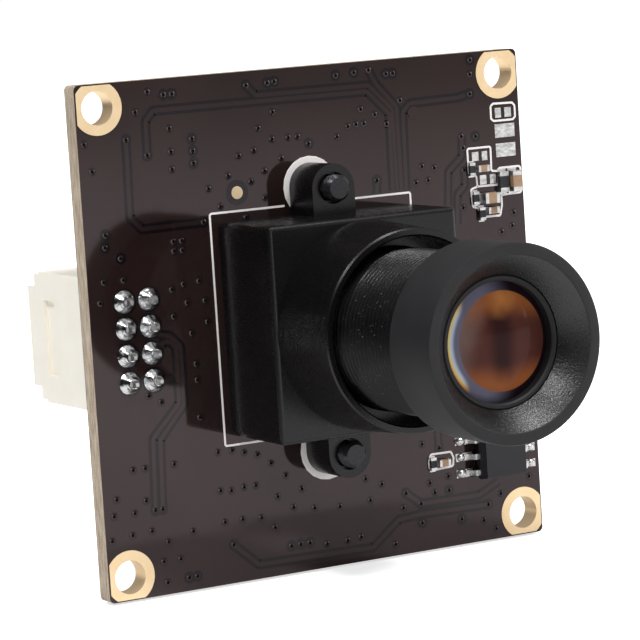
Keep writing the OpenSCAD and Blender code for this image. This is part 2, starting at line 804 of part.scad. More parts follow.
module moulded_chip(l, w, z0, z1) {
    intersection() {
        rotate([90, 0, 0]) linear_extrude(w + 1, center = true) moulded_profile(l, z0, z1);
        rotate([90, 0, 90]) linear_extrude(l + 1, center = true) moulded_profile(w, z0, z1);
    }
}

// Gull-wing lead that leaves the body at x = 0 and ends at x = reach
module gull_lead(reach, waist, w, t) {
    knee = reach * 0.3;
    foot = reach * 0.55;
    rotate([90, 0, 0]) linear_extrude(w, center = true) polygon([
        [0, waist - t / 2], [knee - t / 2, waist - t / 2], [foot - t / 2, 0], [reach, 0],
        [reach, t], [foot + t / 2, t], [knee + t / 2, waist + t / 2], [0, waist + t / 2]
    ]);
}

module interface_chip() {
    color(ink_black) on_front() at_place(interface_at)
        moulded_chip(interface_w, interface_l, chip_lift, interface_h);
}

module interface_leads() {
    waist = waist_at(chip_lift, interface_h);
    color(tin) on_front() translate([0, 0, plating_t]) at_place(interface_at)
        for (turn = [0, 180], i = [-1.5 : 1 : 1.5])
            rotate([0, 0, turn]) translate([interface_w / 2, i * interface_pitch, 0])
                gull_lead((interface_span - interface_w) / 2, waist - plating_t, interface_lead_w, 0.2);
}

module processor() {
    color(ink_black) on_back() at_place(processor_at)
        moulded_chip(processor_w, processor_w, chip_lift, processor_h);
}

module processor_leads() {
    waist = waist_at(chip_lift, processor_h);
    first = -(processor_leads_per_side - 1) / 2;
    color(tin) on_back() at_place(processor_at)
        for (turn = [0, 90, 180, 270], i = [0 : processor_leads_per_side - 1])
            rotate([0, 0, turn]) translate([processor_w / 2, (first + i) * processor_pitch, 0])
                gull_lead((processor_span - processor_w) / 2, waist, processor_lead_w, 0.13);
}

module crystal_base() {
    color(ink_black) on_back() at_place(crystal_at)
        translate([-crystal_w / 2, -crystal_l / 2, 0]) cube([crystal_w, crystal_l, crystal_h * crystal_base_share]);
}

module crystal_can() {
    rim = 0.25;
    w = crystal_w - 2 * rim;
    l = crystal_l - 2 * rim;
    color(tin) on_back() translate([0, 0, crystal_h * crystal_base_share]) at_place(crystal_at)
        linear_extrude(crystal_h * (1 - crystal_base_share)) rounded_rect(w, l, crystal_corner_r);
}

// Drum inductor: a low round core in a square ferrite frame
module power_inductor() {
    groove = 0.2;
    color([0.28, 0.28, 0.29]) on_back() at_place(inductor_at) difference() {
        linear_extrude(inductor_h) rounded_rect(inductor_w, inductor_w, inductor_corner_r);
        translate([0, 0, inductor_h - groove]) ring(inductor_w * 0.42, inductor_w * 0.34, 1);
    }
}

module inductor_ends() {
    end_t = 0.1;
    color(tin) on_back() at_place(inductor_at)
        for (x = [-1, 1])
            translate([x * (inductor_w + end_t) / 2, 0, inductor_h * 0.25])
                cube([end_t, inductor_w * 0.6, inductor_h * 0.5], center = true);
}

module regulators() {
    color(ink_black) on_back()
        for (p = regulator_places) at_place(p) moulded_chip(regulator_w, regulator_l, chip_lift, regulator_h);
}

module regulator_lead(y) {
    translate([regulator_w / 2, y, 0]) gull_lead(0.6, waist_at(chip_lift, regulator_h), 0.38, 0.15);
}

module regulator_leads() {
    color(tin) on_back() for (p = regulator_places) at_place(p) {
        for (i = [-1, 0, 1]) regulator_lead(i * regulator_pitch);
        for (i = [-1, 1]) mirror([1, 0, 0]) regulator_lead(i * regulator_pitch);
    }
}

circuit_board();
plated_holes();
lens_holder();
holder_screws();
lens_barrel();
front_retaining_ring();
front_glass();
front_spacer();
second_glass();
aperture_stop();
third_glass();
fourth_glass();
rear_spacer();
rear_glass();
rear_retaining_ring();
image_sensor();
sensor_chip();
sensor_window();
sensor_contacts_gold();
infrared_filter();
connector_housing();
connector_pins();
solder_fillets();
interface_chip();
interface_leads();
chip_capacitors();
chip_capacitor_ends();
chip_resistors();
chip_resistor_ends();
tinned_pads();
fiducials();
processor();
processor_leads();
crystal_base();
crystal_can();
power_inductor();
inductor_ends();
regulators();
regulator_leads();
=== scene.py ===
# %% [markdown]
# # Dressing a board camera module
# The frame is a small square circuit board with a moulded lens holder screwed to its front.
# A threaded lens barrel stands in the holder, and a wire header is soldered in at the left.
# The CAD solids already have every size. This lesson adds what a CAD solid leaves plain:
# the finishes, the fine threads, the copper under the mask and the white marking.

# %% Load the frame
import math

import bmesh
import bpy
from mathutils import Matrix, Vector


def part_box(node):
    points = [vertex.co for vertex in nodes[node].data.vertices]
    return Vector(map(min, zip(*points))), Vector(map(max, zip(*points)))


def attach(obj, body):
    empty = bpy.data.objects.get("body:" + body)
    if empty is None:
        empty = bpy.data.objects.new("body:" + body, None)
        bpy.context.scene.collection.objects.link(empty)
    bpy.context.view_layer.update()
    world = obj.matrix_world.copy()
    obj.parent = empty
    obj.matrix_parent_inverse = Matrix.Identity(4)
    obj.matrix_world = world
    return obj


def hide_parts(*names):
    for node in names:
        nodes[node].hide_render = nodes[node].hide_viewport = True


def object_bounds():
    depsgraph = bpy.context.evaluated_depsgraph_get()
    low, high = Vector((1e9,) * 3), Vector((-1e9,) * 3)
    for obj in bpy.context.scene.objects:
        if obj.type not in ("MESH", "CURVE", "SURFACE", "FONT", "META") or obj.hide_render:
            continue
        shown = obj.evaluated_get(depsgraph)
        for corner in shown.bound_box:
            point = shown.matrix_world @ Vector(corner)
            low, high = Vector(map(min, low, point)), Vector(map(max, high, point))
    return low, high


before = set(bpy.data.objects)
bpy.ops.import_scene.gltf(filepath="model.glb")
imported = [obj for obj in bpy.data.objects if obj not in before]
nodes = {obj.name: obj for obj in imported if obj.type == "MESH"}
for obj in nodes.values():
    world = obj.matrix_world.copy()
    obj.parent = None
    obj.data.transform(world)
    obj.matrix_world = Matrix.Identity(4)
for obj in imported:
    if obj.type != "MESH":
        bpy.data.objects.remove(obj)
cad_low, cad_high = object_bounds()
print("size in mm:", [round((b - a) * 1000, 2) for a, b in zip(cad_low, cad_high)])

# %% [markdown]
# ## Where things are
# A board is drawn flat, as on a drawing: x to the right, y up, and the height above its front.
# In the frame it stands upright and faces the negative Y side. One matrix stands a flat drawing
# up, so each later piece can be drawn in plain board millimetres.

# %% Stand a flat drawing up on the board
MM = 0.001
board_low, board_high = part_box("circuit_board")
board_half = board_high.x / MM
board_t = (board_high.y - board_low.y) / MM
UPRIGHT = Matrix(((MM, 0, 0, 0), (0, 0, -MM, board_low.y), (0, MM, 0, 0), (0, 0, 0, 1)))


def on_board(x, y, height=0.0):
    """A point of the flat drawing, in the frame's metres."""
    return UPRIGHT @ Vector((x, y, height))


def height_of(y_in_frame):
    """The height above the board's front, in millimetres, of a place in the frame."""
    return (board_low.y - y_in_frame) / MM


print("board:", round(2 * board_half, 2), "mm wide and", round(board_t, 2), "mm thick")

# %% [markdown]
# ## The camera
# A long lens from a little to the left and slightly above keeps the board's sides almost
# parallel. The camera is placed by its distance and two angles round the middle of the board's
# front, and then tipped a few degrees, because the board leans in the view.

# %% Place the camera
camera_turn, camera_rise, camera_tip = -29.41, 6.40, 3.695
camera_distance = 0.25155
aim = on_board(0, 0)
turn, rise, tip = (math.radians(a) for a in (camera_turn, camera_rise, camera_tip))
away = Vector((math.sin(turn) * math.cos(rise), -math.cos(turn) * math.cos(rise), math.sin(rise)))
level = (-away).cross(Vector((0, 0, 1))).normalized()
over = level.cross(-away).normalized()
right = level * math.cos(tip) - over * math.sin(tip)
upward = over * math.cos(tip) + level * math.sin(tip)
eye = aim + away * camera_distance

lens = bpy.data.cameras.new("view")
lens.lens = 187.68
lens.sensor_width = 36.0
lens.shift_x, lens.shift_y = 0.0022, -0.0025
lens.clip_start, lens.clip_end = 0.01, 20.0
camera = bpy.data.objects.new("view", lens)
camera.matrix_world = Matrix((
    (right.x, upward.x, away.x, eye.x),
    (right.y, upward.y, away.y, eye.y),
    (right.z, upward.z, away.z, eye.z),
    (0, 0, 0, 1),
))
bpy.context.scene.collection.objects.link(camera)
bpy.context.scene.camera = camera
print("camera at", [round(c / MM, 1) for c in eye], "mm")

# %% [markdown]
# ## Writing shaders as sums
# Node editors are hard to read in a script. A small class wraps one socket, so that
# `1 - mask * 0.5` adds its own Math nodes. One method, `add`, takes any other node: its type, its
# settings and what goes into its sockets. The same two classes serve Geometry Nodes further on.


# %% A socket that can be written in a sum
class Wire:
    """One output socket, which adds Math nodes when it is written in an expression."""

    def __init__(self, sheet, socket):
        self.sheet, self.socket = sheet, socket

    def _sum(self, operation, *terms):
        return self.sheet.add("ShaderNodeMath", {"operation": operation}, dict(enumerate(terms)))

    def __add__(self, other):
        return self._sum("ADD", self, other)

    def __sub__(self, other):
        return self._sum("SUBTRACT", self, other)

    def __rsub__(self, other):
        return self._sum("SUBTRACT", other, self)

    def __mul__(self, other):
        return self._sum("MULTIPLY", self, other)

    def __truediv__(self, other):
        return self._sum("DIVIDE", self, other)

    def __gt__(self, other):
        return self._sum("GREATER_THAN", self, other)

    def __lt__(self, other):
        return self._sum("LESS_THAN", self, other)

    def __abs__(self):
        return self._sum("ABSOLUTE", self)

    __radd__ = __add__
    __rmul__ = __mul__

    def call(self, operation, *more):
        return self._sum(operation, self, *more)


class NodeSheet:
    """A node tree that is filled one node at a time."""

    def __init__(self, tree):
        self.tree = tree

    def add(self, kind, settings=None, values=None, out=0):
        node = self.tree.nodes.new(kind)
        for name, setting in (settings or {}).items():
            if name == "stops":
                ramp = node.color_ramp
                while len(ramp.elements) < len(setting):
                    ramp.elements.new(1.0)
                for element, (place, colour) in zip(ramp.elements, setting):
                    element.position, element.color = place, (*colour, 1.0)
            else:
                setattr(node, name, setting)
        for name, value in (values or {}).items():
            self.feed(node.inputs[name], value)
        return Wire(self, node.outputs[out])

    def feed(self, socket, value):
        if isinstance(value, Wire):
            self.tree.links.new(value.socket, socket)
        elif hasattr(socket.default_value, "__len__") and len(socket.default_value) == 4:
            socket.default_value = (*value[:3], 1.0)
        else:
            socket.default_value = value


# %% [markdown]
# ## A finish
# Each finish is one Principled shader. The numbers that are the same everywhere are typed into
# its sockets. What varies, such as a grain or a wear mark, comes from noise on the object's own
# coordinates, so the pattern stays on the piece when the piece moves.


# %% A finish, its grain and its mixes
class Finish(NodeSheet):
    """A Principled material with helpers for the patterns that this object needs."""

    def __init__(self, name, **plain):
        self.material = bpy.data.materials.new(name)
        self.material.use_nodes = True
        super().__init__(self.material.node_tree)
        self.tree.nodes.clear()
        self.shader = self.tree.nodes.new("ShaderNodeBsdfPrincipled")
        end = self.tree.nodes.new("ShaderNodeOutputMaterial")
        self.tree.links.new(self.shader.outputs[0], end.inputs["Surface"])
        self.set(**{word.replace("_", " ").title(): value for word, value in plain.items()})
        self.place = self.add("ShaderNodeTexCoord", out="Object")
        split = self.add("ShaderNodeSeparateXYZ", values={0: self.place}).socket.node
        self.x, self.y, self.z = (Wire(self, split.outputs[i]) for i in range(3))

    def set(self, **sockets):
        for name, value in sockets.items():
            name = name.replace("Ior", "IOR")
            self.feed(self.shader.inputs[name], value)
        return self

    def noise(self, size, detail=2.0, stretch=(1, 1, 1)):
        """Noise whose spots are about this many millimetres across."""
        at = self.place
        if stretch != (1, 1, 1):
            at = self.add("ShaderNodeMapping", values={"Vector": at, "Scale": stretch})
        values = {"Vector": at, "Scale": 1.0 / (size * MM), "Detail": detail}
        return self.add("ShaderNodeTexNoise", values=values)

    def between(self, value, low, high):
        """0 below low, 1 above high, and smooth between them."""
        settings = {"interpolation_type": "SMOOTHSTEP"}
        values = {"Value": value, "From Min": low, "From Max": high}
        return self.add("ShaderNodeMapRange", settings, values)

    def mix(self, factor, first, second):
        settings = {"data_type": "RGBA"}
        return self.add("ShaderNodeMix", settings, {0: factor, 6: first, 7: second}, out=2)

    def bump(self, height, depth, strength=1.0):
        """A bump this many millimetres deep where height runs from 0 to 1."""
        values = {"Height": height, "Distance": depth * MM, "Strength": strength}
        return self.set(Normal=self.add("ShaderNodeBump", values=values))

    def cover(self, pattern, first, second, roughness, depth=0.0):
        """Two tones that follow a pattern, a roughness and, where a depth is given, a bump."""
        self.set(**{"Base Color": self.mix(pattern, first, second), "Roughness": roughness})
        return self.bump(pattern, depth) if depth else self


def srgb(red, green, blue):
    """A colour given as 0 to 255 screen values, as the shader's linear numbers."""
    return tuple(((c / 255 + 0.055) / 1.055) ** 2.4 if c > 10 else c / 3295 for c in (red, green, blue))


# %% [markdown]
# ## Solder mask, bare laminate and the board's edge
# The mask is a dark brown lacquer, glossy and almost flat, over copper. Where the copper is
# etched away the lacquer lies on bare laminate and looks greyer. The board is cut from a glass
# fibre sheet, so its edge is pale, rough and layered. One material does the faces and the edge:
# the edge is where a point is clearly between the two faces.

# %% Mask over the faces, glass fibre at the edges
mask_over_copper = srgb(34, 23, 22)
mask_over_laminate = srgb(15, 12, 15)
copper_sheen, laminate_sheen = (1.0, 0.84, 0.87), (0.76, 0.71, 0.75)


def mask_finish(name, tint, sheen=copper_sheen):
    """The lacquer in one tint: its material, its clouded colour and its finest noise."""
    paint = Finish(name, ior=1.5, specular_tint=sheen)
    cloud = paint.noise(9.0, 3.0)
    fine = paint.noise(0.35, 2.0)
    darker = tuple(c * 0.72 for c in tint)
    shade = paint.mix(paint.between(cloud + fine * 0.15, 0.42, 0.74), tint, darker)
    return paint, shade, fine


mask, mask_shade, mask_fine = mask_finish("solder_mask_on_copper", mask_over_copper)
middle = abs(mask.y * (1 / MM) + board_t / 2)
skin_t = 0.035
at_edge = middle < (board_t / 2 - skin_t)
layers = mask.noise(0.16, 3.0, stretch=(0.12, 1.0, 0.12))
fibres = mask.noise(0.09, 4.0)
fibre_shade = mask.add(
    "ShaderNodeValToRGB",
    {"stops": [(0.30, srgb(116, 98, 82)), (0.55, srgb(181, 166, 146)), (0.80, srgb(226, 216, 198))]},
    {0: layers * 0.6 + fibres * 0.4},
)
mask.cover(at_edge, mask_shade, fibre_shade, 0.05 + at_edge * 0.6 + mask_fine * 0.03)
mask.bump(at_edge * fibres + mask.noise(2.4, 1.0) * 0.02, 0.03)

laminate, laminate_shade, laminate_fine = mask_finish(
    "solder_mask_on_laminate", mask_over_laminate, sheen=laminate_sheen)
laminate.set(**{"Base Color": laminate_shade, "Roughness": 0.07 + laminate_fine * 0.03})

ridge, ridge_shade, ridge_fine = mask_finish("solder_mask_on_track", mask_over_copper)
ridge.set(**{"Base Color": ridge_shade, "Roughness": 0.06 + ridge_fine * 0.03})

# Painted shade: a near-black, almost unreflecting disc stands in for the dark inside of each drilled hole.
hole_shade = Finish("drilled_pit", ior=1.5, specular_ior_level=0.05)
hole_shade_grain = hole_shade.noise(0.12)
hole_shade.cover(hole_shade_grain, srgb(4, 3, 3), srgb(14, 9, 9), 0.8)
print("mask finishes made")

# %% [markdown]
# ## Metals
# Gold is plated over nickel on etched copper, so it has a fine grain that softens its shine.
# Tinned pads and solder are silver and uneven: the metal froze while it flowed. The screws are
# blackened steel. The board has two small round marks for the placing machine. The lacquer runs
# over the right-hand one, so their finish is gold on the left of the lens axis and lacquer right.

# %% Gold, tin, solder and blackened steel
gold = Finish("plated_gold", metallic=1.0)
gold_grain = gold.noise(0.12, 3.0)
gold_cloud = gold.noise(1.6, 2.0)
gold.cover(gold_cloud, srgb(250, 226, 188), srgb(238, 206, 160), 0.30 + gold_grain * 0.2)
gold.bump(gold_grain, 0.004)

fiducial = Finish("fiducial_gold", specular_tint=copper_sheen)
bare = fiducial.between(fiducial.x, 1 * MM, -1 * MM)
fiducial_grain = fiducial.noise(0.12, 3.0)
fiducial.set(**{"Base Color": fiducial.mix(bare, mask_over_copper, srgb(246, 222, 182)), "Metallic": bare})
fiducial.set(Roughness=0.1 + bare * (0.2 + fiducial_grain * 0.2))

tin = Finish("tinned_metal", metallic=1.0)
tin_grain = tin.noise(0.55, 2.0)
tin.cover(tin_grain, srgb(184, 183, 182), srgb(226, 226, 225), 0.22 + tin_grain * 0.2, 0.09)

solder = Finish("frozen_solder", metallic=1.0)
solder_grain = solder.noise(0.5, 2.0)
solder.cover(solder_grain, srgb(150, 151, 154), srgb(236, 236, 236), 0.10 + solder_grain * 0.22, 0.10)

steel = Finish("blackened_steel", metallic=0.8)
steel_grain = steel.noise(0.14, 3.0)
steel.cover(steel_grain, srgb(34, 34, 36), srgb(66, 66, 70), 0.20 + steel_grain * 0.2, 0.006)

can = Finish("bright_can", metallic=1.0)
can_lines = can.noise(0.25, 3.0, stretch=(0.1, 1, 1))
can.cover(can_lines, srgb(186, 187, 186), srgb(222, 222, 220), 0.22 + can_lines * 0.15)

# %% [markdown]
# ## Black plastics and the anodised lens
# The holder is moulded in black plastic: satin, with a very fine skin and a few flow clouds. The
# lens is turned in aluminium and anodised black, with a sandy grain. Both get their look from
# roughness and a shallow bump, because a black surface shows little besides its highlights.

# %% Moulded holder, anodised barrel and chip bodies
holder_skin = Finish("moulded_black", ior=1.46, specular_ior_level=0.42)
skin = holder_skin.noise(0.09, 3.0)
flow = holder_skin.noise(3.5, 3.0)
holder_skin.cover(flow, srgb(5, 5, 6), srgb(11, 11, 12), 0.18 + skin * 0.12 + flow * 0.06)
holder_skin.bump(skin + flow * 0.6, 0.003)

anodised = Finish("black_anodised", ior=1.5, specular_ior_level=0.25)
sand = anodised.noise(0.07, 2.0)
patch = anodised.noise(2.0, 2.0)
anodised.cover(patch, srgb(26, 25, 27), srgb(34, 33, 35), 0.44 + sand * 0.16)
anodised.bump(sand, 0.012)

# The mouth and bore get a glossier black; its darker base is partly painted shade of the recess.
funnel_black = Finish("funnel_black", ior=1.5, specular_ior_level=0.55)
funnel_grain = funnel_black.noise(0.11, 2.0)
funnel_black.cover(funnel_grain, srgb(10, 10, 11), srgb(18, 18, 19), 0.22 + funnel_grain * 0.14, 0.035)

# Painted shade: the stem of the same anodised bar sits down in the holder's bore, so it gets a near-black
# copy, with a few lighter specks from the grain.
thread_black = Finish("thread_black", ior=1.5, specular_ior_level=0.22)
thread_grain = thread_black.noise(0.12, 2.0)
specks = thread_black.between(thread_grain, 0.68, 0.74)
thread_black.cover(specks, srgb(7, 7, 8), srgb(96, 96, 98), 0.22 + thread_black.noise(1.2) * 0.2)
thread_black.bump(thread_grain, 0.02)

chip_body = Finish("chip_plastic", ior=1.5, specular_ior_level=0.35)
chip_grain = chip_body.noise(0.06, 2.0)
chip_body.cover(chip_grain, srgb(28, 28, 32), srgb(40, 40, 44), 0.48 + chip_grain * 0.15, 0.01)

ferrite = Finish("ferrite", ior=1.6)
ferrite_grain = ferrite.noise(0.10, 3.0)
ferrite.cover(ferrite_grain, srgb(58, 58, 62), srgb(84, 84, 88), 0.5 + ferrite_grain * 0.2, 0.02)

ceramic_black = Finish("sensor_package", ior=1.5)
package_grain = ceramic_black.noise(0.08, 2.0)
ceramic_black.cover(package_grain, srgb(70, 66, 70), srgb(92, 88, 92), 0.6 + package_grain * 0.1)

capacitor = Finish("capacitor_ceramic", ior=1.5)
capacitor_cloud = capacitor.noise(0.3, 3.0)
capacitor.cover(capacitor_cloud, srgb(134, 106, 80), srgb(166, 136, 106),
                0.35 + capacitor_cloud * 0.15, 0.01)

ivory = Finish("header_plastic", ior=1.46, subsurface_weight=0.08)
ivory_flow = ivory.noise(2.2, 3.0)
ivory_grain = ivory.noise(0.1, 2.0)
ivory.cover(ivory_flow, srgb(238, 230, 215), srgb(246, 241, 230), 0.42 + ivory_grain * 0.12)
ivory.bump(ivory_grain + ivory_flow * 0.5, 0.008)

ink = Finish("white_marking_ink", ior=1.45)
ink_grain = ink.noise(0.08, 3.0)
ink.cover(ink_grain, srgb(212, 206, 204), srgb(240, 236, 234), 0.5 + ink_grain * 0.15)
print("solid finishes made")

# %% [markdown]
# ## Glass
# The elements are coated with films a fraction of a wavelength thick, and the light that comes
# back out of the stack is brown purple in the middle, amber towards its sides, a thin rainbow at
# the left rim and a pale reflection over its left side. Tracing that through six coated elements
# would be slow and noisy. So the front element is an opaque, very smooth surface with these
# reflections painted on it, as patches that start and end at a distance, in millimetres, from a
# place on the glass.

# %% Glass with painted reflections, clear elements, sensor and filter
painted_glass_light = Finish("coated_front_glass", ior=1.6, specular_ior_level=0.05, roughness=0.06)
side = painted_glass_light.x * (1 / MM)
rise_mm = painted_glass_light.z * (1 / MM)
pupil_shift, pupil_radius = 0.42, 3.52


def away_from(x, z):
    """Distance on the glass from a place, in millimetres."""
    return ((side - x) * (side - x) + (rise_mm - z) * (rise_mm - z)).call("SQRT")


depths = painted_glass_light.noise(2.2, 2.0)
out_of_pupil = away_from(pupil_shift, 0.0) + depths * 1.2
band = painted_glass_light.between(abs(side - 0.1) + depths * 0.8, 0.6, 1.9)
tone = painted_glass_light.mix(band, srgb(42, 21, 21), srgb(70, 38, 33))
arcs = painted_glass_light.between(out_of_pupil, 1.9, 3.9) * painted_glass_light.between(abs(rise_mm + 0.1), 0.9, 2.8)
tone = painted_glass_light.mix(arcs, tone, srgb(132, 76, 42))
top_glow = painted_glass_light.between(away_from(0.6, 3.0) + depths * 2.0, 2.7, 1.0)
tone = painted_glass_light.mix(top_glow * 0.8, tone, srgb(172, 112, 60))
# Painted reflection: a pale veil of the surround over the left of the pupil.
left_pale_reflection = painted_glass_light.between(side - rise_mm * 0.3 + depths * 1.4, -0.5, -2.6)
tone = painted_glass_light.mix(left_pale_reflection * 0.55, tone, srgb(116, 98, 92))
# Outside the pupil, a pale painted reflection on the left and dark on the right.
rim_reflection = painted_glass_light.mix(painted_glass_light.between(side, -1.2, 1.6), srgb(92, 90, 106), srgb(24, 14, 20))
inside = painted_glass_light.between(away_from(pupil_shift, 0.0), pupil_radius + 0.05, pupil_radius - 0.05)
tone = painted_glass_light.mix(inside, rim_reflection, tone)
outward = away_from(0.0, 0.0)
fringe = painted_glass_light.between(outward, 3.35, 3.6)
fringe = fringe * painted_glass_light.between(side - abs(rise_mm - 0.3) * 0.2, -2.9, -3.5)
fringe_tone = painted_glass_light.add(
    "ShaderNodeValToRGB",
    {"stops": [(0.0, srgb(120, 128, 160)), (0.3, srgb(176, 186, 196)), (0.5, srgb(214, 190, 110)),
               (0.72, srgb(206, 116, 40)), (1.0, srgb(80, 32, 20))]},
    {0: (outward - 3.45) * 1.3},
)
painted_glass_light.set(**{"Base Color": painted_glass_light.mix(fringe, tone, fringe_tone)})

# The second element gets a painted amber glow, brighter towards its rim.
glow = Finish("amber_coated_glass", ior=1.7, roughness=0.04, coat_weight=0.5)
glow_ring = (glow.x * glow.x + glow.z * glow.z).call("SQRT") * (1 / MM)
glow.set(**{"Base Color": glow.mix(glow.between(glow_ring, 1.0, 3.4), srgb(80, 44, 40), srgb(190, 108, 48))})

clear = Finish("clear_glass", ior=1.6, transmission_weight=1.0)
clear_film = clear.noise(1.5, 2.0)
clear.cover(clear_film, (0.93, 0.96, 0.97), (0.97, 0.99, 1.0), clear_film * 0.01)

filter_glass = Finish("filter_glass", ior=1.52, transmission_weight=1.0)
filter_film = filter_glass.noise(2.0, 2.0)
filter_glass.cover(filter_film, (0.62, 0.86, 0.84), (0.70, 0.90, 0.88), filter_film * 0.01)

silicon = Finish("sensor_silicon", metallic=0.6)
cell_rows = silicon.add(
    "ShaderNodeTexWave", {"bands_direction": "Z"}, {"Vector": silicon.place, "Scale": 4000.0})
silicon.cover(cell_rows, srgb(74, 66, 96), srgb(96, 104, 92), 0.25)
print("glass finishes made")

# %% [markdown]
# ## Finishes on the CAD nodes
# A CAD node whose shape is right keeps its mesh, and only its material slot is filled.

# %% Hand each node its finish
FINISHES = {
    mask: ["circuit_board"],
    gold: ["plated_holes", "sensor_contacts_gold"],
    fiducial: ["fiducials"],
    holder_skin: ["lens_holder"],
    steel: ["holder_screws"],
    anodised: ["lens_barrel", "front_retaining_ring", "front_spacer", "aperture_stop",
               "rear_spacer", "rear_retaining_ring"],
    painted_glass_light: ["front_glass"],
    glow: ["second_glass"],
    clear: ["third_glass", "fourth_glass", "rear_glass", "sensor_window"],
    filter_glass: ["infrared_filter"],
    silicon: ["sensor_chip"],
    ceramic_black: ["image_sensor"],
    ivory: ["connector_housing"],
    solder: ["solder_fillets"],
    tin: ["tinned_pads", "interface_leads", "processor_leads", "regulator_leads",
          "chip_capacitor_ends", "chip_resistor_ends", "inductor_ends"],
    chip_body: ["interface_chip", "processor", "regulators", "chip_resistors"],
    capacitor: ["chip_capacitors"],
    can: ["crystal_can", "crystal_base", "connector_pins"],
    ferrite: ["power_inductor"],
}
for finish, names in FINISHES.items():
    for name in names:
        for material_slot in nodes[name].material_slots:
            material_slot.material = finish.material
undressed = sorted(set(nodes) - {name for names in FINISHES.values() for name in names})
print("nodes without a finish:", undressed)

# %% [markdown]
# ## Shapes that follow a rule
# Copper tracks, white lines, drilled spots and threads repeat or follow a path, so Geometry Nodes
# make them. Each recipe is one tree with named inputs for its sizes. It runs once, and the result
# is kept as a plain mesh.


# %% A recipe: a Geometry Nodes tree with named sizes
class Recipe(NodeSheet):
    """A Geometry Nodes tree whose inputs are the sizes of the piece it makes."""

    def __init__(self, name, finish, **sizes):
        super().__init__(bpy.data.node_groups.new(name, "GeometryNodeTree"))
        sides = self.tree.interface
        sides.new_socket("Geometry", in_out="INPUT", socket_type="NodeSocketGeometry")
        sides.new_socket("Geometry", in_out="OUTPUT", socket_type="NodeSocketGeometry")
        for label, value in sizes.items():
            size = sides.new_socket(label, in_out="INPUT", socket_type="NodeSocketFloat")
            size.default_value = value
        paint = sides.new_socket("finish", in_out="INPUT", socket_type="NodeSocketMaterial")
        paint.default_value = finish.material
        self.start = self.tree.nodes.new("NodeGroupInput")
        self.end = self.tree.nodes.new("NodeGroupOutput")

    def size(self, label):
        return Wire(self, self.start.outputs[label])

    def close(self, shape):
        """Ends the tree: real meshes instead of instances, and the finish on them."""
        real = self.add("GeometryNodeRealizeInstances", values={"Geometry": shape})
        flat = self.add("GeometryNodeSetShadeSmooth", values={"Geometry": real, "Shade Smooth": False})
        painted = self.add("GeometryNodeSetMaterial",
                           values={"Geometry": flat, "Material": self.size("finish")})
        self.tree.links.new(painted.socket, self.end.inputs[0])
        return self

    def make(self, name, points, edges=(), faces=(), finish=None, **sizes):
        """Runs the recipe on a mesh and returns an object with the plain result."""
        mesh = bpy.data.meshes.new(name)
        mesh.from_pydata([tuple(p) for p in points], list(edges), list(faces))
        piece = bpy.data.objects.new(name, mesh)
        bpy.context.scene.collection.objects.link(piece)
        if finish:
            sizes["finish"] = finish.material
        step = piece.modifiers.new("recipe", "NODES")
        step.node_group = self.tree
        for item in self.tree.interface.items_tree:
            if item.in_out == "INPUT" and item.name in sizes:
                step[item.identifier] = sizes[item.name]
        ready = piece.evaluated_get(bpy.context.evaluated_depsgraph_get())
        piece.data = bpy.data.meshes.new_from_object(ready)
        piece.modifiers.clear()
        bpy.data.meshes.remove(mesh)
        print(name, "has", len(piece.data.polygons), "faces")
        return piece


def fit_on_board(piece, body):
    """Stands a flat drawing up on the board and lets it ride with a body."""
    piece.data.transform(UPRIGHT)
    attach(piece, body)
    return piece


def fit_on_back(piece, body):
    """Turns a flat drawing over to the board's back face and lets it ride with a body."""
    piece.data.transform(Matrix.Translation((0, 0, -board_t)) @ Matrix.Diagonal((1, 1, -1, 1)))
    piece.data.flip_normals()
    return fit_on_board(piece, body)


line_lift = 0.0002


def chains(*lines):
    """Points and edges of several open lines in board millimetres, each a hair above the last."""
    points, edges = [], []
    for number, line in enumerate(lines):
        first = len(points)
        points += [(x, y, number * line_lift) for x, y in line]
        edges += [(first + i, first + i + 1) for i in range(len(line) - 1)]
    return points, edges


# %% [markdown]
# ## Drawn lines
# A track is a copper strip under the lacquer: low, flat on top, with sloping sides and small
# bevels at its corners. A white line is printed ink of the same kind. One recipe sweeps a low
# trapezium along a path, and only the width, the rise and the finish differ. Where two lines
# cross, faces at one height would flicker, so each line lies a hair above the last.

# %% Recipe: a low strip along a path
strip = Recipe("low_strip", ridge, width=0.25, rise=0.03, slope=0.05, corner=0.2)
path = strip.add("GeometryNodeMeshToCurve", values={"Mesh": Wire(strip, strip.start.outputs["Geometry"])})
path = strip.add("GeometryNodeFilletCurve", {"mode": "POLY"},
                 {"Curve": path, "Count": 5, "Radius": strip.size("corner"), "Limit Radius": True})
path = strip.add("GeometryNodeSetCurveNormal", {"mode": "Z_UP"}, {"Curve": path})
section = strip.add("GeometryNodeCurvePrimitiveQuadrilateral", {"mode": "TRAPEZOID"}, {
    "Bottom Width": strip.size("width") + strip.size("slope") * 2,
    "Top Width": strip.size("width") - strip.size("slope") * 2,
    "Height": strip.size("rise") * 2, "Offset": 0.0,
})
swept = strip.add("GeometryNodeCurveToMesh",
                  values={"Curve": path, "Profile Curve": section, "Fill Caps": True})
strip.close(swept)

# %% [markdown]
# ## Spots
# A via is a small drilled hole under the lacquer. Round it lies a ring of copper, and round that
# often a moat where the copper is etched away. Each of these is a low round disc, so one recipe
# puts a disc on every point: a wide flat one for the moat, a raised one for the ring and a small
# dark one, painted shade in place of the hole.

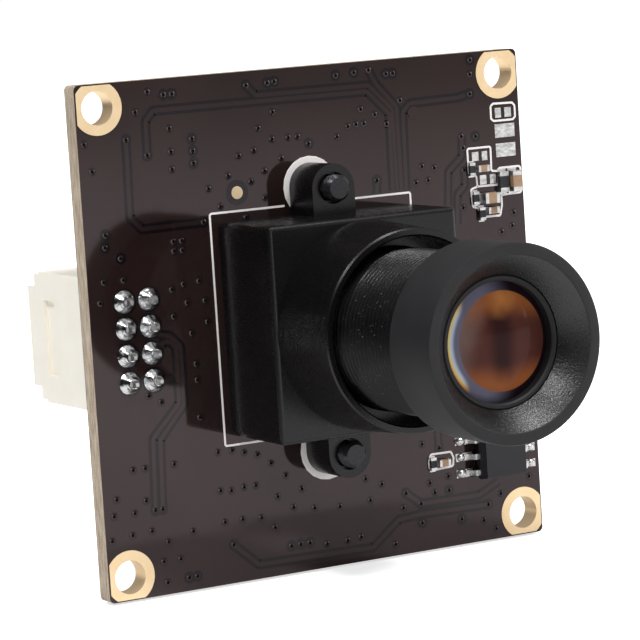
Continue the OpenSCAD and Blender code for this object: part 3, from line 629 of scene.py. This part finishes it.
# %% Recipe: a low disc on every point
spots = Recipe("low_discs", ridge, radius=0.3, top_radius=0.2, rise=0.02, lift=0.0)
disc = spots.add("GeometryNodeMeshCone", {"fill_type": "NGON"}, {
    "Vertices": 20, "Radius Top": spots.size("top_radius"), "Radius Bottom": spots.size("radius"),
    "Depth": spots.size("rise"),
})
raised = spots.add("ShaderNodeCombineXYZ", values={2: spots.size("lift")})
disc = spots.add("GeometryNodeTransform", values={"Geometry": disc, "Translation": raised})
placed = spots.add("GeometryNodeInstanceOnPoints", values={
    "Points": Wire(spots, spots.start.outputs["Geometry"]), "Instance": disc})
spots.close(placed)

# %% [markdown]
# ## Threads
# The lens screws into its holder with a fine metric thread, 0.5 mm a turn, and the two small
# screws have the same kind of thread. A thread follows a rule: the depth of the groove depends on
# the height along the axis plus the share of a turn. The recipe pulls the points of a turned
# body inwards by that rule, so the crest keeps the body's diameter.

# %% Recipe: cut a thread into a turned body
thread = Recipe("cut_thread", anodised, pitch=0.5, depth=0.27, start=6.0, end=21.0, crest=6.0)
body = Wire(thread, thread.start.outputs["Geometry"])
spot = thread.add("GeometryNodeInputPosition")
parts = thread.add("ShaderNodeSeparateXYZ", values={0: spot}).socket.node
px, py, pz = (Wire(thread, parts.outputs[i]) for i in range(3))
reach_out = (px * px + py * py).call("SQRT").call("MAXIMUM", 0.0001)
turns_up = pz / thread.size("pitch") + py.call("ARCTAN2", px) / (2 * math.pi)
groove = abs(turns_up.call("FRACT") * 2 - 1)
flank_slope, crest_share, crest_slack = 1.3, 0.15, 0.01
groove = (groove * flank_slope - crest_share).call("MAXIMUM", 0.0).call("MINIMUM", 1.0)
on_crest = reach_out > thread.size("crest") - crest_slack
on_crest = on_crest * (pz > thread.size("start")) * (pz < thread.size("end"))
shrink = 1 - groove * thread.size("depth") * on_crest / reach_out
moved = thread.add("ShaderNodeCombineXYZ", values={0: px * shrink, 1: py * shrink, 2: pz})
thread.close(thread.add("GeometryNodeSetPosition", values={"Geometry": body, "Position": moved}))


def turned_body(outline, segments):
    """Points and faces of an outline of (radius, height), turned round the axis."""
    points, faces = [], []
    for k in range(segments):
        angle = 2 * math.pi * k / segments
        points += [(r * math.cos(angle), r * math.sin(angle), h) for r, h in outline]
    n = len(outline)
    for k in range(segments):
        here, there = k * n, (k + 1) % segments * n
        for i in range(n):
            j = (i + 1) % n
            faces.append((here + i, there + i, there + j, here + j))
    return points, faces


def finish_surface(mesh, crease=30):
    """Closes poles, turns the faces outwards and shades all but the sharp edges smooth."""
    work = bmesh.new()
    work.from_mesh(mesh)
    bmesh.ops.remove_doubles(work, verts=work.verts, dist=0.0005)
    bmesh.ops.dissolve_degenerate(work, edges=work.edges, dist=0.0002)
    bmesh.ops.recalc_face_normals(work, faces=work.faces)
    work.to_mesh(mesh)
    work.free()
    for face in mesh.polygons:
        face.use_smooth = True
    mesh.set_sharp_from_angle(angle=math.radians(crease))


# %% [markdown]
# ## The lens barrel
# The barrel is turned from one bar: a threaded stem, a short relief and a wider head with a
# conical mouth. Its outline repeats the CAD node's sizes, and the rows of points along the stem
# are close enough to carry the thread.

# %% Turn the barrel and cut its thread
barrel_low, barrel_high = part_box("lens_barrel")
ring_low, ring_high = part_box("front_retaining_ring")
tail_z, front_z = height_of(barrel_high.y), height_of(barrel_low.y)
head_r, front_r = barrel_high.x / MM, ring_high.x / MM
rear_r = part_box("rear_spacer")[1].x / MM
funnel_z = height_of(ring_low.y)
web_top = height_of(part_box("aperture_stop")[1].y)
web_z = height_of(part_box("third_glass")[0].y)
stem_r, relief_r, mouth_r, web_r = 6.0, 5.65, 6.15, 2.4
head_len, relief_w, edge_cut, tail_cut = 5.3, 0.5, 0.15, 0.3
lip_outer, lip_inner, lip_cut = 0.06, 0.03, 0.05
shoulder_z = front_z - head_len
pitch, rows_per_turn, thread_depth, thread_end_gap = 0.5, 8, 0.27, 0.02
barrel_segments = 144
stem_start, stem_end = tail_z + tail_cut, shoulder_z - relief_w
stem_len = stem_end - tail_z - tail_cut
row_count = int(stem_len / pitch * rows_per_turn)
stem = [(stem_r, stem_start + stem_len * i / row_count) for i in range(row_count + 1)]
outline = [(rear_r, tail_z), (stem_r - tail_cut, tail_z), *stem,
           (relief_r, stem_end), (relief_r, shoulder_z),
           (head_r - edge_cut, shoulder_z), (head_r, shoulder_z + edge_cut),
           (head_r, front_z - edge_cut), (head_r - edge_cut * 0.3, front_z - edge_cut * 0.3),
           (head_r - edge_cut, front_z), (mouth_r + lip_outer, front_z),
           (mouth_r - lip_inner, front_z - lip_cut),
           (front_r, funnel_z), (front_r, web_top), (web_r, web_top), (web_r, web_z), (rear_r, web_z)]
points, faces = turned_body(outline, barrel_segments)
barrel = thread.make("lens_barrel_threaded", points, faces=faces, pitch=pitch, depth=thread_depth,
                     start=stem_start, end=stem_end - thread_end_gap, crest=stem_r)
finish_surface(barrel.data, 25)
# The mouth and bore take the funnel finish, darker partly as painted shade; the stem, down in the holder's
# bore, takes painted shade.
for inner in (funnel_black, thread_black):
    barrel.data.materials.append(inner.material)
wall_slack = 0.02
for face in barrel.data.polygons:
    across = math.hypot(face.center.x, face.center.y)
    in_mouth = face.center.z > funnel_z and across < mouth_r - wall_slack
    if in_mouth or across < front_r + wall_slack:
        face.material_index = 1
    elif face.center.z < shoulder_z:
        face.material_index = 2
fit_on_board(barrel, "lens")
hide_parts("lens_barrel")

# %% [markdown]
# ## The front glass
# The front element is a shallow dome. It is turned anew with many more rings than the CAD mesh
# needs, so that reflections run over it without a kink. Its apex, rim and back are the node's,
# and the radius of its dome gives a bulge close to the node's.

# %% Turn the front glass
glass_low, glass_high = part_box("front_glass")
glass_r, apex_z, glass_back = glass_high.x / MM, height_of(glass_low.y), height_of(glass_high.y)
dome_radius, rings, glass_cut, dome_segments = 12.6, 24, 0.05, 96
outline = []
for i in range(rings + 1):
    r = glass_r * i / rings
    outline.append((r, apex_z - dome_radius + math.sqrt(dome_radius ** 2 - r * r)))
outline += [(glass_r, glass_back + glass_cut), (glass_r - glass_cut, glass_back), (0, glass_back)]
points, faces = turned_body(outline, dome_segments)
dome = thread.make("front_glass_dome", points, faces=faces, finish=painted_glass_light, depth=0.0)
finish_surface(dome.data, 30)
fit_on_board(dome, "lens")
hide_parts("front_glass")

# %% [markdown]
# ## The holder's screws
# Two small pan-head screws come through the board from behind, and their tips stand out of the
# lugs. The head's cross recess is cut with a boolean, as a punch would press it.

# %% Turn two screws and cut their threads and recesses
screw_low, screw_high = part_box("holder_screws")
head_z, tip_z = height_of(screw_high.y), height_of(screw_low.y)
head_top_z = -board_t
screw_half = 10.0
screw_r, screw_head_r, tip_cut, screw_segments = 1.0, screw_high.x / MM, 0.22, 48
screw_pitch, screw_rows, screw_depth, screw_start = 0.4, 8, 0.2, 0.1
crown_in, crown_edge, crown_drop, head_drop = 0.7, 0.22, 0.2, 0.6
punch_size = (2.2, 0.5, 1.2)
shaft_len = tip_z - tip_cut - head_top_z
count = int(shaft_len / screw_pitch * screw_rows)
shaft = [(screw_r, head_top_z + shaft_len * i / count) for i in range(count + 1)]
outline = [(0, head_z), (screw_head_r - crown_in, head_z), (screw_head_r - crown_edge, head_z + crown_drop),
           (screw_head_r, head_z + head_drop), (screw_head_r, head_top_z), *shaft,
           (screw_r - tip_cut, tip_z), (0.0, tip_z)]
points, faces = turned_body(outline, screw_segments)
screw = thread.make("holder_screw_threaded", points, faces=faces, finish=steel, pitch=screw_pitch,
                    depth=screw_depth, start=head_top_z + screw_start,
                    end=tip_z - tip_cut - thread_end_gap, crest=screw_r)
finish_surface(screw.data, 35)
recess = bmesh.new()
for turned in (0, math.pi / 2):
    made = bmesh.ops.create_cube(recess, size=1.0)["verts"]
    bmesh.ops.scale(recess, vec=punch_size, verts=made)
    bmesh.ops.rotate(recess, matrix=Matrix.Rotation(turned, 3, "Z"), verts=made)
    bmesh.ops.translate(recess, vec=(0, 0, head_z), verts=made)
punch_mesh = bpy.data.meshes.new("recess_punch")
recess.to_mesh(punch_mesh)
recess.free()
punch = bpy.data.objects.new("recess_punch", punch_mesh)
bpy.context.scene.collection.objects.link(punch)
cut = screw.modifiers.new("recess", "BOOLEAN")
cut.object, cut.operation, cut.solver, cut.use_self = punch, "DIFFERENCE", "EXACT", True
screw_mesh = bpy.data.meshes.new_from_object(screw.evaluated_get(bpy.context.evaluated_depsgraph_get()))
screw.modifiers.clear()
bpy.data.objects.remove(punch)
both = bmesh.new()
for side_y in (-screw_half, screw_half):
    first = len(both.verts)
    both.from_mesh(screw_mesh)
    both.verts.ensure_lookup_table()
    bmesh.ops.translate(both, vec=(0, side_y, 0), verts=both.verts[first:])
both.to_mesh(screw.data)
both.free()
fit_on_board(screw, "board")
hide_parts("holder_screws")
print("screws:", len(screw.data.polygons), "faces")

# %% [markdown]
# ## The copper under the mask
# The tracks run between vias: two long ones along the top that turn down to the holder, a pair
# from the header down the left, and one along the bottom. Every path is a list of its corners,
# in board millimetres from the board's middle. Most corners are measured places, so they sit on
# no grid. Under each track lies a wider, flatter strip: the moat, where the copper is etched away
# on both sides of it.

# %% Lay the tracks and their moats
tracks = [
    [(-13.45, 13.5), (-13.4, 16.0), (-12.75, 16.7), (5.45, 16.7), (7.25, 14.9), (7.2, 9.0)],
    [(-4.9, 17.95), (-4.15, 17.15), (5.6, 17.15), (7.55, 15.2), (7.6, 9.0)],
    [(5.7, 18.25), (6.3, 17.15), (7.95, 15.35), (7.98, 9.0)],
    [(14.6, 15.8), (13.45, 15.6), (9.15, 15.5), (8.5, 14.9), (8.4, 9.0)],
    [(-15.1, 14.75), (-15.2, 9.1), (-14.3, 8.15), (-9.25, 8.2)],
    [(-14.15, 1.0), (-13.35, 0.25), (-12.6, 0.1), (-11.8, -0.8), (-11.85, -5.1), (-14.0, -7.45),
     (-14.2, -12.6)],
    [(-14.15, -1.0), (-13.1, -0.25), (-12.5, -0.35), (-12.2, -0.85), (-12.25, -4.95), (-14.6, -7.3),
     (-14.8, -12.6)],
    [(-14.15, -3.0), (-12.9, -3.05), (-12.6, -3.05)],
    [(-8.5, -16.1), (-6.5, -17.9), (3.5, -18.05), (5.9, -16.25), (8.0, -16.1), (14.1, -16.2)],
    [(6.7, -14.3), (8.0, -15.3), (13.3, -15.35), (15.2, -14.5)],
    [(9.9, -11.2), (9.87, -9.5)],
    [(12.05, 7.4), (12.25, 10.0), (13.55, 11.05), (13.65, 12.65)],
    [(12.8, 5.9), (12.95, 8.15), (13.7, 8.8), (13.7, 10.0)],
    [(5.85, 9.9), (5.75, 8.6)],
]
track_width, track_rise, track_slope = 0.22, 0.007, 0.05
moat_width, moat_rise, moat_slope = 0.74, 0.002, 0.02
points, edges = chains(*tracks)
moats = strip.make("track_moats", points, edges, finish=laminate, width=moat_width, rise=moat_rise,
                   slope=moat_slope)
fit_on_board(moats, "board")
copper = strip.make("tracks", points, edges, finish=ridge, width=track_width, rise=track_rise,
                    slope=track_slope)
fit_on_board(copper, "board")

# %% [markdown]
# ## Vias
# Some vias carry a signal and stand free in a wide moat. Most only stitch the two copper faces
# together, and show as small dark dots in a slight dip. All have a raised lip round the hole. The
# left-hand mark and the header's pins stand in moats of their own, made by the same recipe. The
# two lists hold measured places, rounded to a tenth of a millimetre, and no designed pattern.

# %% Drill the vias
signal_vias = [
    (-11.8, 17.8), (-11.1, 17.8), (-15.1, 14.75), (-9.7, 14.4), (-9.7, 13.5), (-13.45, 13.5), (-9.7, 12.6),
    (-4.9, 17.95), (-3.1, 18.0), (-2.5, 18.05), (0.1, 13.2), (-9.2, 8.2), (-17.3, 8.0), (-17.4, 7.1),
    (-16.2, 6.2), (-14.8, -12.6), (-14.2, -12.6), (-12.4, -18.0), (-11.7, -18.0), (-8.5, -16.1),
    (-3.6, -16.9), (-2.8, -16.9), (-2.0, -16.9), (9.9, -11.2), (10.6, -14.6), (6.7, -14.3), (8.0, -15.3),
    (8.0, -16.8), (11.6, -17.0), (14.1, -16.2), (2.8, 18.1), (4.4, 18.2), (7.2, 17.9), (7.8, 17.9),
    (14.8, 18.4), (14.6, 15.8), (5.85, 9.9), (14.9, 12.5),
]
stitch_vias = [
    (-13.1, 18.1), (-14.2, 16.7), (-11.5, 15.3), (-18.5, 14.7), (-11.5, 13.6), (-11.5, 12.3), (-18.0, 12.7),
    (-2.8, 15.8), (-4.1, 14.7), (-3.0, 13.8), (-1.6, 13.8), (-0.8, 13.8), (2.6, 13.5), (-4.6, 13.1),
    (-5.9, 12.8), (-2.3, 12.3), (-3.8, 11.5), (-6.9, 11.4), (-5.0, 10.8), (-8.6, 10.6), (-3.9, 9.5),
    (-7.7, 9.2), (-5.6, 8.2), (-11.8, 7.0), (-11.1, 7.0), (-11.8, 6.3), (-11.1, 6.3), (-17.7, 4.6),
    (-16.1, 4.6), (-18.1, 3.1), (-9.9, 3.9), (-11.2, 3.8), (-12.2, 3.5), (-11.0, 2.4), (-9.5, 2.4),
    (-12.2, 1.5), (-9.4, 0.8), (-10.8, 0.1), (-10.6, -2.2), (-10.6, -3.4), (-10.6, -6.2), (-14.7, -4.1),
    (-13.7, -4.7), (-16.4, -9.4), (-15.4, -9.4), (-13.0, -9.4), (-17.9, -11.4), (-15.5, -11.8),
    (-16.5, -12.6), (-18.2, -12.6), (-15.2, -14.1), (-11.8, -14.6), (-16.8, -14.2), (-18.5, -14.4),
    (-13.9, -15.1), (-14.4, -16.5), (-13.0, -16.5), (-14.2, -18.1), (-9.3, -9.0), (-8.1, -9.0),
    (-7.1, -9.3), (-6.0, -9.6), (-4.9, -10.4), (-3.7, -11.5), (-9.3, -11.9), (-8.4, -12.0), (-7.3, -11.9),
    (-6.3, -11.9), (-4.5, -13.0), (-2.4, -12.7), (-3.2, -14.0), (-1.4, -14.3), (0.8, -14.5), (-9.1, -14.3),
    (-7.6, -14.3), (-6.0, -14.4), (-4.9, -15.3), (-0.5, -17.2), (1.3, -17.2), (2.5, -17.1), (8.4, -10.7),
    (3.2, -12.7), (4.6, -13.3), (3.5, -14.4), (8.9, -13.8), (9.3, -14.6), (6.4, -15.4), (13.6, -17.4),
    (14.7, -18.2), (15.3, -15.5), (18.0, -14.5), (10.6, -13.5), (5.5, -18.1), (5.7, 18.3), (14.7, 17.3),
    (8.3, 15.8), (4.8, 15.4), (6.0, 14.9), (3.6, 14.2), (7.0, 14.1), (5.0, 14.3), (4.3, 14.3), (9.9, 10.6),
    (11.0, 10.4), (10.4, 9.5), (9.3, 9.4), (13.6, 12.6), (13.7, 11.7), (13.7, 10.0), (13.4, 7.1),
    (18.0, 6.3), (17.8, 5.3), (16.8, 4.9),
]
signal_radius, dip_radius, pin_radius, mark_radius, moat_cut = 0.45, 0.33, 0.98, 0.95, 0.01
lip_radius, lip_top, lip_rise = 0.24, 0.14, 0.03
drill_radius, hole_shade_rise = 0.12, 0.034
mark_place = (-6.25, 10.1, 0)
pin_step = 2.0


def lay_spots(name, places, finish, radius, top_radius, rise):
    """Discs on flat places, which ride with the board."""
    piece = spots.make(name, places, finish=finish, radius=radius, top_radius=top_radius, rise=rise)
    return fit_on_board(piece, "board")


def lay_moats(name, places, radius):
    """Flat discs of lacquer on bare laminate."""
    return lay_spots(name, places, laminate, radius, radius - moat_cut, moat_rise)


joint_low, joint_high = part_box("solder_fillets")
joint_x, joint_z = ((joint_low[i] + joint_high[i]) / 2 / MM for i in (0, 2))
pin_places = [(joint_x + i * pin_step, joint_z + j * pin_step, 0)
              for i in (-0.5, 0.5) for j in (-1.5, -0.5, 0.5, 1.5)]
every_via = chains(signal_vias + stitch_vias)[0]
lay_moats("via_moats", chains(*[[via] for via in signal_vias])[0], signal_radius)
lay_moats("via_dips", chains(stitch_vias)[0], dip_radius)
lay_moats("fiducial_moat", [mark_place], mark_radius)
lay_moats("pin_moats", pin_places, pin_radius)
lay_spots("via_lips", every_via, ridge, lip_radius, lip_top, lip_rise)
# Dark discs painted as the shade inside the holes.
lay_spots("via_hole_shades", every_via, hole_shade, drill_radius, drill_radius, hole_shade_rise)

# %% [markdown]
# ## The back face
# The vias go right through, so the same spots show on the back, except where a screw head covers
# them. A few tracks there lead from the header to the processor and on to the supplies.

# %% Repeat the vias and lay tracks on the back
back_tracks = [
    [(-13.2, 3.0), (-9.0, 3.0), (-6.2, 1.2), (-4.2, 1.2)],
    [(-13.2, 1.0), (-8.6, 1.0), (-7.9, 0.4), (-4.2, 0.4)],
    [(-13.2, -1.0), (-8.8, -1.0), (-8.2, -0.4), (-4.2, -0.4)],
    [(-13.2, -3.0), (-9.0, -3.0), (-6.8, -1.2), (-4.2, -1.2)],
    [(3.8, 2.0), (7.5, 2.0), (9.2, 3.7), (13.0, 3.7), (14.4, 5.1), (14.4, 9.0)],
    [(0.4, 4.0), (0.4, 7.5), (3.0, 10.1), (9.0, 10.1)],
    [(-0.4, -4.0), (-0.4, -7.5), (-3.0, -10.1), (-9.0, -10.1), (-10.5, -11.6)],
    [(3.8, -2.0), (8.2, -2.0), (10.2, -4.0), (10.2, -9.0), (12.0, -10.8)],
]
points, edges = chains(*back_tracks)
back_moats = strip.make("back_track_moats", points, edges, finish=laminate, width=moat_width,
                        rise=moat_rise, slope=moat_slope)
back_copper = strip.make("back_tracks", points, edges, finish=ridge, width=track_width,
                         rise=track_rise, slope=track_slope)
screw_room = 2.6
through = [(x, y) for x, y in signal_vias + stitch_vias if math.hypot(x, abs(y) - screw_half) > screw_room]
on_back = chains(*[[via] for via in through])[0]
back_dips = spots.make("back_via_dips", on_back, finish=laminate, radius=dip_radius,
                       top_radius=dip_radius - moat_cut, rise=moat_rise)
back_lips = spots.make("back_via_lips", on_back, radius=lip_radius, top_radius=lip_top, rise=lip_rise)
# Painted shade inside the holes on the back.
back_hole_shades = spots.make("back_via_hole_shades", on_back, finish=hole_shade, radius=drill_radius, top_radius=drill_radius,
                       rise=hole_shade_rise)
for piece in (back_moats, back_copper, back_dips, back_lips, back_hole_shades):
    fit_on_back(piece, "board")

# %% [markdown]
# ## Solder at the interface chip
# Each lead of the eight-pin chip ends in a small round pool of solder. A flattened ball on every
# foot does it.

# %% Recipe and pools of solder on the chip's feet
pools = Recipe("solder_pools", tin, radius=0.4, height=0.25)
ball = pools.add("GeometryNodeMeshIcoSphere", values={"Radius": 1.0, "Subdivisions": 4})
pool_across = 0.85
flatness = pools.add("ShaderNodeCombineXYZ", values={
    0: pools.size("radius"), 1: pools.size("radius") * pool_across, 2: pools.size("height")})
uneven = pools.add("FunctionNodeRandomValue", {"data_type": "FLOAT"}, {2: 0.85, 3: 1.1, "Seed": 7}, out=1)
pools.close(pools.add("GeometryNodeInstanceOnPoints", values={
    "Points": Wire(pools, pools.start.outputs["Geometry"]), "Instance": ball,
    "Scale": pools.add("ShaderNodeVectorMath", {"operation": "SCALE"}, {0: flatness, "Scale": uneven})}))
lead_low, lead_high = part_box("interface_leads")
middle_z = (lead_low.z + lead_high.z) / 2 / MM
lead_step, foot_reach, foot_rise = 1.27, 0.2, 0.03
feet = [(x, middle_z + i * lead_step, foot_rise) for i in (-1.5, -0.5, 0.5, 1.5)
        for x in (lead_low.x / MM - foot_reach, lead_high.x / MM + foot_reach)]
blobs = pools.make("lead_solder", feet, radius=0.43, height=0.36)
print("pools of solder at", [(round(x, 2), round(y, 2)) for x, y, _ in feet])
finish_surface(blobs.data, 60)
fit_on_board(blobs, "board")

# %% [markdown]
# ## White marking
# The printed marking is a square round the holder, with a gap for each screw lug, a white disc
# behind each lug, and outlines round the groups of small parts near the right edge. Lettering is
# left out, so its place stays bare.

# %% Print the white lines
square_half, square_x, square_y = 8.68, 0.02, 0.06
gap_left, gap_right = -2.3, 2.75
left_x, right_x = square_x - square_half, square_x + square_half
low_y, high_y = square_y - square_half, square_y + square_half
pair_box = [(16.42, 14.7), (16.64, 14.88), (18.4, 14.84), (18.62, 14.6), (18.62, 13.75), (18.4, 13.54),
            (16.62, 13.54), (16.4, 13.75), (16.42, 14.7)]
step_box = [(16.75, 9.65), (16.15, 9.72), (16.2, 11.6), (14.06, 11.6), (14.1, 9.65), (14.75, 9.42),
            (14.8, 8.62), (14.2, 8.45), (14.3, 7.08), (14.78, 6.94), (14.92, 6.22), (16.75, 6.2),
            (16.95, 7.0), (16.95, 7.78), (18.72, 7.82), (18.84, 8.0), (18.84, 9.72), (18.72, 9.88),
            (16.85, 9.88), (16.75, 9.65), (16.72, 8.6), (14.8, 8.62)]
lone_box = [(8.9, -12.15), (9.12, -11.6), (10.95, -11.62), (11.15, -12.1), (11.08, -12.75), (9.18, -12.85),
            (8.92, -12.6), (8.9, -12.15)]
points, edges = chains(
    [(gap_left, high_y), (left_x, high_y), (left_x, low_y), (gap_left, low_y)],
    [(gap_right, high_y), (right_x, high_y), (right_x, low_y), (gap_right, low_y)],
    pair_box, step_box, lone_box,
)
ink_width, ink_rise, ink_slope, ink_corner = 0.14, 0.03, 0.01, 0.16
disc_radius, disc_top, disc_rise = 2.3, 2.28, 0.02
lines = strip.make("white_lines", points, edges, finish=ink, width=ink_width, rise=ink_rise,
                   slope=ink_slope, corner=ink_corner)
fit_on_board(lines, "board")
lay_spots("white_discs", [(0, -screw_half, 0), (0, screw_half, 0)], ink, disc_radius, disc_top, disc_rise)

# %% [markdown]
# ## Light and background
# The object hangs in plain white light. The surround is white to the camera and dimmer as a
# light, so that dark surfaces stay dark. Four square soft lamps draw the forms: one high on the
# left, one above, a weak one in front and a wide one on the right. A black card on the left, which
# the camera doesn't see, is what the glossy lacquer and the holder's left side reflect.

# %% Surround, lamps and card
world = bpy.data.worlds.new("white_surround")
bpy.context.scene.world = world
world.use_nodes = True
sky = NodeSheet(world.node_tree)
world.node_tree.nodes.clear()
ray = sky.add("ShaderNodeLightPath").socket.node
seen = Wire(sky, ray.outputs["Is Camera Ray"])
ambient = 0.40
strength = ambient + seen * (1.0 - ambient)
background = sky.add("ShaderNodeBackground", values={"Color": (1, 1, 1), "Strength": strength})
surround = world.node_tree.nodes.new("ShaderNodeOutputWorld")
world.node_tree.links.new(background.socket, surround.inputs["Surface"])


def soft_lamp(name, place, width, watts):
    """A square soft lamp that looks at the middle of the board."""
    lamp = bpy.data.lights.new(name, "AREA")
    lamp.shape, lamp.size, lamp.energy = "SQUARE", width, watts
    stand = bpy.data.objects.new(name, lamp)
    stand.location = place
    stand.rotation_euler = (aim - Vector(place)).to_track_quat("-Z", "Y").to_euler()
    bpy.context.scene.collection.objects.link(stand)
    return stand


soft_lamp("high_left", (-0.300, -0.150, 0.50), 0.11, 2.5)
soft_lamp("above", (0.15, -0.25, 0.56), 0.14, 2.2)
soft_lamp("front", (-0.03, -0.60, 0.08), 0.22, 0.3)
soft_lamp("right", (0.56, -0.26, 0.18), 0.30, 0.9)
print("lamps:", sorted(lamp.name for lamp in bpy.data.lights))


def flat_sheet(name, corners):
    """One flat face of the stage, which is no part of the object."""
    mesh = bpy.data.meshes.new(name)
    mesh.from_pydata(corners, [], [(0, 1, 2, 3)])
    sheet = bpy.data.objects.new(name, mesh)
    bpy.context.scene.collection.objects.link(sheet)
    return sheet


card_x, card_front, card_rear, card_low, card_high = -0.42, -0.40, 0.45, -0.018, 0.33
dark_card = flat_sheet("dark_card", [(card_x, card_front, card_low), (card_x, card_rear, card_low),
                                     (card_x, card_rear, card_high), (card_x, card_front, card_high)])
dark_card.visible_camera = False
cloth = Finish("black_cloth", base_color=(0.004, 0.004, 0.004), roughness=1.0, specular_ior_level=0.0)
dark_card.data.materials.append(cloth.material)

# %% [markdown]
# ## The floor
# The floor glows by itself to the camera, dimmer under the object and white further out, so it
# keeps a soft shadow and still ends in the white surround. To the glossy surfaces it is dark on
# the left, as the card is, so that the two meet in one dark reflection.

# %% Floor
reach, under = 1.5, cad_low.z - 0.0002
floor = flat_sheet("floor", [(-reach, -reach, under), (reach, -reach, under), (reach, reach, under),
                             (-reach, reach, under)])
near_glow, far_glow, glow_start, glow_end = (0.62, 0.62, 0.62), (1.0, 1.0, 1.0), 0.06, 0.5
dark_start, dark_end, dark_tone = -0.03, -0.12, (0.05, 0.05, 0.05)
floor_paint = Finish("white_floor", base_color=(0.92, 0.92, 0.92), roughness=0.9)
floor.data.materials.append(floor_paint.material)
light_path = floor_paint.add("ShaderNodeLightPath").socket.node
looked_at = Wire(floor_paint, light_path.outputs["Is Camera Ray"])
looked_at = looked_at.call("MAXIMUM", Wire(floor_paint, light_path.outputs["Is Transmission Ray"]))
far_off = (floor_paint.x * floor_paint.x + floor_paint.y * floor_paint.y).call("SQRT")
glow_tone = floor_paint.mix(floor_paint.between(far_off, glow_start, glow_end), near_glow, far_glow)
own_glow = floor_paint.add("ShaderNodeEmission", values={"Color": glow_tone, "Strength": 1.0})
lit = floor_paint.add("ShaderNodeAddShader", values={0: own_glow})
bright = Wire(floor_paint, floor_paint.shader.outputs[0])
unlit = floor_paint.add("ShaderNodeBsdfDiffuse", values={"Color": dark_tone})
reflected = Wire(floor_paint, light_path.outputs["Is Glossy Ray"])
on_the_left = floor_paint.between(floor_paint.x, dark_start, dark_end)
plain = floor_paint.add("ShaderNodeMixShader", values={0: reflected * on_the_left, 1: bright, 2: unlit})
floor_paint.tree.links.new(plain.socket, lit.socket.node.inputs[1])
chosen = floor_paint.add("ShaderNodeMixShader", values={0: looked_at, 1: plain, 2: lit})
ends = [n for n in floor_paint.tree.nodes if n.type == "OUTPUT_MATERIAL"]
floor_paint.tree.links.new(chosen.socket, ends[0].inputs["Surface"])
print("floor at", round(under / MM, 2), "mm")

# %% [markdown]
# ## The view transform
# The picture is shown through the Standard view transform.

# %% Set the view transform
bpy.context.scene.view_settings.view_transform = "Standard"
